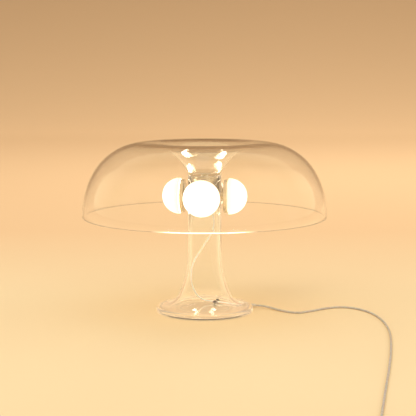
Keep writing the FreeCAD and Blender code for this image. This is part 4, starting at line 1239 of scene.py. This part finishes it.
# ---- Shade -----------------------------------------------------------------------------------------
@dataclass
class ClearShade:
    """Mushroom shade with its funnel, and the screw that holds it."""
    radius: float = 160.0
    wall: float = 3.0
    neck_radius: float = 22.0
    floor_z: float = 181.1
    floor_top_z: float = 183.9
    throat: Pair = (5.0, 35.0)
    flank: float = 18.6
    funnel_lip: float = 42.0
    crest_lean: float = 5.0
    shoulder: Pair = (75.0, 55.0)
    side_radius: float = 109.0
    screw_hole: float = 3.3
    spigot: Triple = (18.6, 17.0, 1.8)
    head_radius: float = 9.0
    head_height: float = 1.6
    slot: float = 1.4
    seat_gap: float = 0.1
    shank_radius: float = 3.0
    shank_bottom: float = 173.5

    def crest_radius(self) -> float:
        """Radius of the gentle crest, worked out so that the side ends at the shade's radius."""
        throat_radius, throat_turn = self.throat
        shoulder_radius, shoulder_turn = self.shoulder
        lean, flank_lean = math.radians(self.crest_lean), math.radians(throat_turn)
        shoulder_end = lean + math.radians(shoulder_turn)
        reach = (throat_radius * (1 - math.cos(flank_lean)) + self.flank * math.sin(flank_lean)
                 + self.funnel_lip * (math.cos(flank_lean) - math.sin(lean))
                 + shoulder_radius * (math.sin(shoulder_end) - math.sin(lean))
                 + self.side_radius * (1 - math.sin(shoulder_end)))
        return (self.radius - self.wall - self.neck_radius - reach) / (2 * math.sin(lean))

    def outline(self) -> list[Pair]:
        """Closed outline of the shade: inner wall, rounded rim, outer wall, floor and its spigot."""
        lean, half = self.crest_lean, self.wall / 2
        steps = [
            (self.throat[0], -self.throat[1]), (self.flank, 0),
            (self.funnel_lip, self.throat[1] + lean - 90), (self.crest_radius(), -2 * lean),
            (self.shoulder[0], -self.shoulder[1]), (self.side_radius, self.shoulder[1] + lean - 90)]
        start = (self.neck_radius, self.floor_top_z)
        inner = arc_chain(start, 90, steps)
        outer = arc_chain(start, 90, steps, self.wall)
        rim_x, rim_z = (inner[-1][0] + outer[-1][0]) / 2, inner[-1][1]
        rim = [(rim_x - half * math.cos(math.radians(a)), rim_z - half * math.sin(math.radians(a)))
               for a in range(15, 180, 15)]
        outside, inside, depth = self.spigot
        low = self.floor_z
        floor = [(self.screw_hole, self.floor_top_z), (self.screw_hole, low), (inside, low),
                 (inside, low - depth), (outside, low - depth), (outside, low), (self.neck_radius, low)]
        return inner + rim + outer[::-1] + floor

    def build(self) -> None:
        """Make the shade and its screw."""
        shade = turned("clear_shade", self.outline(), 192)
        soften(shade, 0.3)
        dress(settle(shade, 30), RIM_LIT, "shade", "shade")

        low = self.floor_top_z + self.seat_gap
        top, bottom = low + self.head_height, self.shank_bottom
        head, shank = self.head_radius, self.shank_radius
        screw = turned("shade_screw", [
            (0, top - 0.25), (3.2, top - 0.12), (6.5, top), (head - 0.6, top), (head, top - 0.6), (head, low),
            (shank, low), (shank, bottom + 0.6), (shank - 0.6, bottom), (0, bottom)], 96)
        combine(screw, [block("coin_slot", (2.2 * head, self.slot, self.slot), (0, 0, top))])
        soften(screw, 0.12, 40)
        dress(settle(screw), POLISHED, "retaining_screw", "retaining_screw")
        dress_node("shade_washer", SILICONE)


# ---- Stem and foot ---------------------------------------------------------------------------------
@dataclass
class ClearStem:
    """One-piece trumpet stem and foot, its plate, the lead's clamp and the sleeve at the rim."""
    stem_radius: float = 22.0
    wall: float = 3.0
    top_z: float = 181.0
    trumpet: Pair = (140.0, 25.0)
    sweep_radius: float = 24.498
    base_radius: float = 64.0
    rim_height: float = 7.0
    edge_radius: float = 3.0
    foot_radius: float = 0.8
    plate_radius: float = 58.92
    plate_gap: float = 0.1
    plate_top: float = 2.2
    plate_bottom: float = 0.3
    recess: Pair = (32.0, 0.8)
    light_hole: float = 6.3
    channel_radius: float = 2.2
    channel_length: float = 34.0
    channel_start: float = -24.0
    clamp_height: float = 2.3
    clamp_thickness: float = 1.5
    clamp_spacing: float = 14.0
    clamp_width: float = 6.4
    boss_radius: float = 2.6
    boss_sink: float = 0.5

    def outline(self) -> list[Pair]:
        """Closed outline: outer wall down to the rim, under the foot, and the inner wall back up."""
        foot_turn = 90 - self.trumpet[1]
        turn, foot = math.radians(self.trumpet[1]), math.radians(foot_turn)
        drop = self.trumpet[0] * math.sin(turn) + self.sweep_radius * (1 - math.cos(foot))
        ledge = (self.stem_radius + self.trumpet[0] * (1 - math.cos(turn))
                 + self.sweep_radius * math.sin(foot))
        sweep = [(self.top_z - self.rim_height - drop, 0), self.trumpet, (self.sweep_radius, foot_turn)]
        rim = [(self.base_radius - self.edge_radius - ledge, 0), (self.edge_radius, -90),
               (self.rim_height - self.edge_radius - self.foot_radius, 0), (self.foot_radius, -90)]
        start = (self.stem_radius, self.top_z)
        inner = arc_chain(start, -90, sweep, -self.wall)
        seat = self.plate_radius + self.plate_gap
        under = [(seat, 0), (seat, self.plate_top), (ledge, self.plate_top), (ledge, inner[-1][1])]
        return arc_chain(start, -90, sweep + rim) + under + inner[::-1]

    def channel(self, cord: FreeCord) -> Piece:
        """Cutter for the lead's way out under the foot's rim."""
        return rod("lead_way", self.channel_radius, self.channel_length, cord.exit_line(self.channel_start),
                   cord.exit_heading, 32)

    def build(self, cord: FreeCord) -> None:
        """Make the stem, its plate, the clamp and the sleeve.

        Args:
            cord: the free cord, for its exit.
        """
        stem = turned("clear_stem", self.outline(), 160)
        combine(stem, neck_ways(self.light_hole, 16, 12, 64) + [self.channel(cord)])
        soften(stem, 0.25)
        dress(settle(stem, 30), EDGE_LIT, "root", "stem_base")
        across = Vector((-cord.exit_heading.y, cord.exit_heading.x, 0))
        screw_places = [Vector((*cord.clamp, 0)) + across * (side * self.clamp_spacing / 2) for side in SIDES]
        self.build_plate(cord, screw_places)
        self.build_clamp(cord, across, screw_places)
        sleeve = turned("lead_sleeve", [
            (1.27, -10), (2.15, -10), (2.15, 0.0), (2.05, 0.9), (2.1, 1.2), (2.1, 1.8), (1.95, 2.1),
            (1.95, 2.6), (2.02, 2.9), (2.02, 3.5), (1.87, 3.8), (1.87, 4.3), (1.94, 4.6), (1.94, 5.2),
            (1.8, 5.5), (1.8, 6.6), (1.65, 7.0), (1.27, 7.0)], 48)
        lay = moved(cord.exit_line(0)) @ UP.rotation_difference(cord.exit_heading).to_matrix().to_4x4()
        dress(settle(sleeve, 40, lay), SLEEVE_PVC, "root", "cord_sleeve")

    def build_plate(self, cord: FreeCord, screw_places: Sequence[Vector]) -> None:
        """Make the clear disc in the foot, with its recess, the lead's groove and the clamp's bosses.

        Args:
            cord: the free cord, for its exit.
            screw_places: axes of the clamp's screws.
        """
        edge, low, high = self.plate_radius, self.plate_bottom, self.plate_top
        recess, depth = self.recess
        plate = turned("foot_plate", [
            (0, high), (edge - 0.4, high), (edge, high - 0.4), (edge, low + 0.2), (edge - 0.2, low),
            (recess + 0.3, low), (recess - 0.3, low + depth), (0, low + depth)], 128)
        combine(plate, [self.channel(cord)])
        boss, seat = self.boss_radius, high + self.clamp_height
        bosses = [turned(f"clamp_boss_{index}", [
            (0, seat), (boss - 0.3, seat), (boss, seat - 0.3), (boss, high - self.boss_sink),
            (0, high - self.boss_sink)], 40) for index in range(2)]
        for piece, place in zip(bosses, screw_places):
            piece.matrix_world = moved(place)
        combine(plate, bosses, Combine.FUSE)
        dress(settle(plate, 30), CLEAR, "root", "base_plate")

    def build_clamp(self, cord: FreeCord, across: Vector, screw_places: Sequence[Vector]) -> None:
        """Make the clear saddle bar over the lead, and its two dark screws.

        Args:
            cord: the free cord, for its place in the foot.
            across: plan direction of the bar.
            screw_places: axes of the two screws.
        """
        low, width = self.plate_top + self.clamp_height, self.clamp_width
        top = low + self.clamp_thickness
        bar = block("lead_clamp", (self.clamp_spacing + width, width, self.clamp_thickness),
                    (0, 0, low + self.clamp_thickness / 2))
        enter_edit(bar, Element.EDGES)
        round_edges(bar, lambda at, way: abs(way.z) > SQUARE_ON, width / 2 - 0.02, 12)
        round_edges(bar, lambda at, way: at.z > top - AT_PLACE, 0.35, 3)
        leave_edit()
        settle(bar, place=set_down(Vector((*cord.clamp, 0)), plan_angle(across)))
        start = Vector((*cord.clamp, cord.lead_z)) - cord.exit_heading * width
        combine(bar, [rod("saddle_groove", cord.radius + 0.05, 2 * width, start, cord.exit_heading, 32)]
                + [rod("screw_way", 1.1, 6, place + UP * (low - 2), UP, 24) for place in screw_places])
        dress(settle(bar), CLEAR_CLAMP, "root", "cord_clamp")
        screw = pan_screw("clamp_screw", 2.1, 1.3, 1.0, 3.0)
        heads = [copied(screw, f"clamp_screw_{index}", set_down(place + UP * top, 20 + 50 * index))
                 for index, place in enumerate(screw_places)]
        bpy.data.objects.remove(screw)
        dress(settle(joined("clamp_screw_pair", heads)), BLACK_SCREW, "root", "clamp_screws")


# ---- Hub and lights --------------------------------------------------------------------------------
@dataclass
class LightHub:
    """Polished hub in the top of the stem, its cover and what it holds."""
    radius: float = 18.7
    top_z: float = 180.0
    bottom_z: float = 140.0
    cover: float = 2.0
    shoulder: Pair = (16.7, 2.6)
    bore: float = 15.5
    board_seat: Pair = (13.0, 166.0)
    screw_hole: Pair = (3.05, 7.1)
    groove: float = 0.25
    neck_radius: float = 6.0
    outlet_radius: float = 2.1

    def build(self) -> None:
        """Make the hub and its cover, and dress the small pieces inside."""
        shoulder, shoulder_depth = self.shoulder
        seat, seat_z = self.board_seat
        hole, hole_depth = self.screw_hole
        edge, top, low = self.radius, self.top_z, self.bottom_z
        step, floor = top - shoulder_depth, edge - self.groove
        hub = turned("light_hub_body", [
            (hole, top), (shoulder - 0.3, top), (shoulder, top - 0.3), (shoulder, step), (edge - 0.4, step),
            (edge, step - 0.4), (edge, step - 3.0), (floor, step - 3.2), (floor, step - 3.7),
            (edge, step - 3.9), (edge, low + 2.4), (floor, low + 2.2), (floor, low + 1.7), (edge, low + 1.5),
            (edge, low), (self.bore, low), (self.bore, seat_z), (seat, seat_z), (seat, top - 9), (0, top - 9),
            (0, top - hole_depth), (hole, top - hole_depth)], 128)
        combine(hub, neck_ways(self.neck_radius, 12, 9, 48))
        dress(settle(hub), POLISHED, "root", "light_hub")
        bottom = low - self.cover
        cover = turned("hub_cover_disc", [
            (0, low), (edge - 0.1, low), (edge, low - 0.1), (edge, bottom + 0.6), (edge - 0.6, bottom),
            (0, bottom)], 128)
        outlet = plan_way(LEAD_OUTLET[1]) * LEAD_OUTLET[0] + UP * (low - 4)
        combine(cover, [rod("outlet", self.outlet_radius, 6, outlet, UP, 32)])
        dress(settle(cover), POLISHED, "root", "hub_cover")
        dress_node("lead_grommet", SILICONE)
        dress_node("distribution_board", GREEN_BOARD)
        dress_node("light_wires", WIRE)


@dataclass
class OpalLights:
    """Four opal half globes on polished cups, in a cross round the hub."""
    names: tuple[str, ...] = ("right", "back", "left", "front")
    cup_radius: float = 22.0
    back_x: float = 26.0
    front_x: float = 31.7
    spigot_radius: float = 20.0
    spigot_end: float = 35.7
    spigot_wall: float = 2.0
    neck_radius: float = 6.0
    neck_bore: float = 3.5
    neck_start: float = 15.2
    board_seat: float = 31.2
    board: float = 1.6
    well: Pair = (12.5, 3.2)
    dome_radius: float = 24.0
    dome_wall: float = 2.0
    dome_seat: float = 31.8
    dome_lip: Pair = (20.1, 4.1)
    screw_ring: float = 14.6

    def place(self, index: int) -> Matrix:
        """Matrix that lays a light made along +Z onto its arm of the cross."""
        return set_down(UP * LIGHT_Z, ARM_TURN + 90 * index) @ rotated(90, "Y")

    def cup_outline(self) -> list[Pair]:
        """Closed outline of the cup, with a bead at its rim and a ring turned into its back."""
        neck, bore, edge = self.neck_radius, self.neck_bore, self.cup_radius
        start, back, front = self.neck_start, self.back_x, self.front_x
        spigot, end, seat = self.spigot_radius, self.spigot_end, self.board_seat
        well, depth = self.well
        return [
            (bore, start), (neck - 0.3, start), (neck, start + 0.3), (neck, back - 0.7), (neck + 0.7, back),
            (17.0, back), (17.4, back + 0.25), (18.2, back + 0.25), (18.6, back), (edge - 0.8, back),
            (edge - 0.23, back + 0.23), (edge, back + 0.8), (edge, front - 0.8),
            (edge - 0.23, front - 0.23), (edge - 0.8, front), (spigot, front), (spigot, end - 0.4),
            (spigot - 0.4, end), (spigot - self.spigot_wall, end), (spigot - self.spigot_wall, seat),
            (well, seat), (well, seat - depth), (bore, seat - depth)]

    def dome_outline(self) -> list[Pair]:
        """Closed outline of the half globe, with its thick lip."""
        seat, outer = self.dome_seat, self.dome_radius
        inner = outer - self.dome_wall
        lip, lip_end = self.dome_lip
        lean = math.asin(lip_end / inner)
        rise = [math.radians(a) for a in (0.6, *range(3, 90, 3))]
        fall = [lean + (math.pi / 2 - lean) * i / 20 for i in range(20)]
        return ([(outer - 0.25, seat)]
                + [(outer * math.cos(a), seat + outer * math.sin(a)) for a in rise]
                + [(0, seat + outer), (0, seat + inner)]
                + [(inner * math.cos(a), seat + inner * math.sin(a)) for a in fall[::-1]]
                + [(lip, seat + lip_end), (lip, seat)])

    def build(self) -> None:
        """Make one light and copy it round the cross."""
        cup = turned("cup", self.cup_outline(), 128)
        soften(cup, 0.12)
        dome = turned("dome", self.dome_outline(), 128)
        screw = pan_screw("board_screw", 1.7, 1.0, 0.9, 3.6)
        screws = []
        for index, name in enumerate(self.names):
            place = self.place(index)
            dress(settle(copied(cup, f"cup_{name}", place)), POLISHED, "root", f"light_cup_{name}")
            dress(settle(copied(dome, f"dome_{name}", place), 40), OPAL, f"opal_dome_{name}",
                  f"opal_dome_{name}")
            dress_node(f"led_board_{name}", WHITE_BOARD)
            for side in SIDES:
                seat = set_down(Vector((0, side * self.screw_ring, self.board_seat + self.board)),
                                25 + 40 * index * side)
                screws.append(copied(screw, f"board_screw_{name}", place @ seat))
        for pattern in (cup, dome, screw):
            bpy.data.objects.remove(pattern)
        dress(settle(joined("board_screw_set", screws)), ZINC_SCREW, "root", "board_screws")


# ---- Switch and supply -----------------------------------------------------------------------------
@dataclass
class LineSwitch:
    """In-line switch: two grained shells, a round button, its spring, boots and case screws."""
    length: float = 56.0
    width: float = 21.0
    height: float = 14.0
    corner: float = 9.0
    edge: float = 1.2
    parting: float = 0.25
    rim: float = 1.4
    wall: float = 1.8
    button_radius: float = 5.5
    button_gap: float = 0.3
    button_top: float = 16.0
    button_low: float = 11.1
    flange: Pair = (7.0, 1.2)
    grip_start: float = 13.0
    grip_pitch: float = 2.4
    boot: float = 10.0
    boot_way: float = 3.0
    screw_offset: float = 20.0
    screw_seat: float = 2.25

    def half_shell(self, name: str, upper: bool) -> Piece:
        """Make one shell of the case.

        Args:
            name: the piece's name.
            upper: whether it is the upper one.

        Returns:
            The shell, still round its own middle.
        """
        half = self.height / 2
        outer_z = self.height if upper else 0.0
        shell = CaseShell(
            (self.length, self.width, half), (0, 0, (outer_z + half) / 2), 2, outer_z, half,
            (self.corner, 16), self.edge, self.parting, self.rim, half - self.wall).build(name)
        cutters = [rod("boot_way", self.boot_way, 8, Vector((side * (self.length / 2 - 5), 0, half)),
                       Vector((side, 0, 0)), 40) for side in SIDES]
        if upper:
            cutters.append(rod("button_way", self.button_radius + self.button_gap, 12, UP * half, UP, 64))
            cutters += [block("grip_groove", (0.8, self.width * 0.55, 1.0),
                              (side * (self.grip_start + self.grip_pitch * i), 0, outer_z))
                        for side in SIDES for i in range(3)]
        else:
            cutters += [rod("screw_seat", self.screw_seat, 1.2, Vector((side * self.screw_offset, 0, -0.01)),
                            UP, 32) for side in SIDES]
        combine(shell, cutters)
        return shell

    def button(self) -> Piece:
        """Make the dished round button with its flange, round its own axis."""
        top, edge = self.button_top, self.button_radius
        flange, seat = self.flange[0], self.button_low + self.flange[1]
        return turned("switch_key", [
            (0, top - 0.35), (2.5, top - 0.25), (4.2, top - 0.02), (4.7, top), (edge - 0.2, top - 0.25),
            (edge, top - 0.7), (edge, seat), (flange, seat), (flange, self.button_low),
            (0, self.button_low)], 96)

    def build(self, cord: FreeCord) -> list[Piece]:
        """Make the switch and lay it on the cord.

        Args:
            cord: the free cord.

        Returns:
            Its pieces.
        """
        place = cord.switch_place
        pieces = [dress(settle(self.half_shell(name, upper), place=place), SWITCH_CASE, "root", node)
                  for name, upper, node in (("switch_case_top", True, "switch_upper"),
                                            ("switch_case_bottom", False, "switch_lower"))]
        pieces.append(dress(settle(self.button(), place=place), SWITCH_KEY, "switch_button", "switch_button"))
        boots = []
        for side in SIDES:
            boot = turned("boot", ribbed_taper(2.95, 1.8, self.boot, 3), 48)
            lay = moved(Vector((side * self.length / 2, 0, self.height / 2)))
            boot.matrix_world = place @ lay @ rotated(90 * side, "Y")
            boots.append(boot)
        pair = settle(joined("switch_boot_pair", boots), 40)
        pieces.append(dress(pair, SOFT_PVC, "root", "switch_boots"))
        screw = pan_screw("case_screw", 2.2, 1.0, 1.25, 5.0)
        heads = [copied(screw, "case_screw_side", place @ moved(Vector((side * self.screw_offset, 0, 1.15)))
                        @ rotated(180, "X")) for side in SIDES]
        bpy.data.objects.remove(screw)
        screws = settle(joined("switch_screw_pair", heads))
        pieces += [dress(screws, ZINC_SCREW, "root", "switch_screws"), self.return_spring()]
        dress_node("contact_block", BLACK_BLOCK)
        return pieces

    def return_spring(self) -> Piece:
        """Make the coil spring from a merged copy of its solid, with a mesh of its own.

        Returns:
            The spring.
        """
        spring = copied(frame["nodes"]["button_spring"], "return_spring", Matrix.Identity(4))
        del spring["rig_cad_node"]
        spring.parent = None
        enter_edit(spring)
        bpy.ops.mesh.remove_doubles(threshold=0.001 * MM)
        leave_edit()
        dress(settle(spring), ZINC_SCREW, "root", "button_spring")
        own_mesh(spring)
        return spring


@dataclass
class PlugSupply:
    """Plug-in supply: housing, cover with its pad, ribbed boot and two sleeved pins."""
    length: float = 58.0
    width: float = 38.0
    height: float = 27.0
    wall: float = 2.0
    corner: float = 5.0
    back_edge: float = 1.6
    front_edge: float = 0.8
    parting: float = 0.3
    cover: float = 6.0
    pad: Triple = (3.0, 32.0, 16.0)
    pad_sink: float = 0.5
    vent_start: Pair = (26.0, 6.0)
    vent_pitch: float = 2.6
    pin_radius: float = 2.0
    pin_length: float = 19.0
    pin_sink: float = 6.0
    pin_spacing: float = 18.6
    boot: float = 13.0

    def shell(self, name: str, start: float, length: float, closed_low: bool) -> Piece:
        """Make one rounded open-ended shell of the case.

        Args:
            name: the piece's name.
            start: its first end along the supply.
            length: its length.
            closed_low: whether its first end is the closed one.

        Returns:
            The shell, still on its own axes.
        """
        closed_at, open_at = (start, start + length) if closed_low else (start + length, start)
        return CaseShell(
            (length, self.width, self.height), (start + length / 2, 0, self.height / 2), 0, closed_at,
            open_at, (self.corner, 12), self.back_edge if closed_low else self.front_edge, self.parting,
            self.wall - self.parting, length - self.wall).build(name)

    def case(self) -> tuple[Piece, Piece]:
        """Make the vented housing, and the cover with the pad that carries the pins.

        Returns:
            Housing and cover, still on the supply's own axes.
        """
        mid, seam = self.height / 2, self.length - self.cover
        housing = self.shell("supply_case", 0, seam, True)
        combine(housing, [rod("boot_way", 4.0, 6, Vector((-2, 0, mid)), Vector((1, 0, 0)), 48)]
                + [block("vent_slot", (12, 0.9, 1.6),
                         (self.vent_start[0], side * (self.vent_start[1] + self.vent_pitch * i), self.height))
                   for side in SIDES for i in range(2)])
        cover = self.shell("supply_lid", seam, self.cover, False)
        length, width, height = self.pad
        pad = block("pin_pad", (length + self.pad_sink, width, height),
                    (self.length + (length - self.pad_sink) / 2, 0, mid))
        enter_edit(pad, Element.EDGES)
        round_edges(pad, lambda at, way: abs(way.x) > SQUARE_ON, height / 2 - 0.05, 16)
        round_edges(pad, lambda at, way: at.x > self.length + length - AT_PLACE, 0.6, 3)
        leave_edit()
        combine(cover, [pad], Combine.FUSE)
        return housing, cover

    def pin(self) -> Piece:
        """Make one round pin along +Z from the pad's face, with the step at its sleeve's end."""
        radius, tip, inside = self.pin_radius, self.pin_length, -self.pin_sink
        return turned("pin", [
            (0, tip), (0.6, tip), (1.3, tip - 0.25), (1.8, tip - 0.9), (radius, tip - 1.7), (radius, 10.3),
            (radius - 0.12, 10.05), (radius - 0.12, 9.9), (radius, 9.7), (radius, 0), (1.55, 0),
            (1.55, inside), (0, inside)], 48)

    def build(self, cord: FreeCord) -> list[Piece]:
        """Make the supply and lay it at the cord's end.

        Args:
            cord: the free cord.

        Returns:
            Its pieces.
        """
        place = set_down(Vector((*cord.supply_place, 0)), cord.supply_angle)
        mid, face = self.height / 2, self.length + self.pad[0]
        pieces = [dress(settle(piece, place=place), SUPPLY_CASE, "root", node)
                  for piece, node in zip(self.case(), ("supply_housing", "supply_cover"))]
        pins = []
        for side in SIDES:
            pin = self.pin()
            lay = moved(Vector((face, side * self.pin_spacing / 2, mid)))
            pin.matrix_world = place @ lay @ rotated(90, "Y")
            pins.append(pin)
        root = Vector((*cord.supply_place, mid)) + plan_way(cord.supply_angle) * face
        sleeved = SleevedPin("Brass, nickel plated, with moulded sleeve", "plug_metal", tuple(root),
                             cord.supply_angle)
        pieces.append(dress(settle(joined("plug_pin_pair", pins)), sleeved, "root", "plug_pins"))
        boot = turned("supply_cord_boot", ribbed_taper(3.95, 1.8, self.boot, 4), 48)
        settle(boot, 40, place @ moved(UP * mid) @ rotated(-90, "Y"))
        pieces.append(dress(boot, SOFT_PVC, "root", "supply_boot"))
        dress_node("supply_board", GREEN_BOARD)
        return pieces


def main() -> None:
    """Build the studio and the lamp, sub-assembly by sub-assembly."""
    logging.basicConfig(level=logging.INFO, format="%(name)s: %(message)s")
    clear_selection()
    Studio().build()
    cord = FreeCord()
    on_cord = LineSwitch().build(cord) + PlugSupply().build(cord)
    cord.build(on_cord + [frame["nodes"][name] for name in ("contact_block", "supply_board")])
    InnerLead().build(cord)
    ClearStem().build(cord)
    LightHub().build()
    OpalLights().build()
    ClearShade().build()


if __name__ == "__main__":
    main()
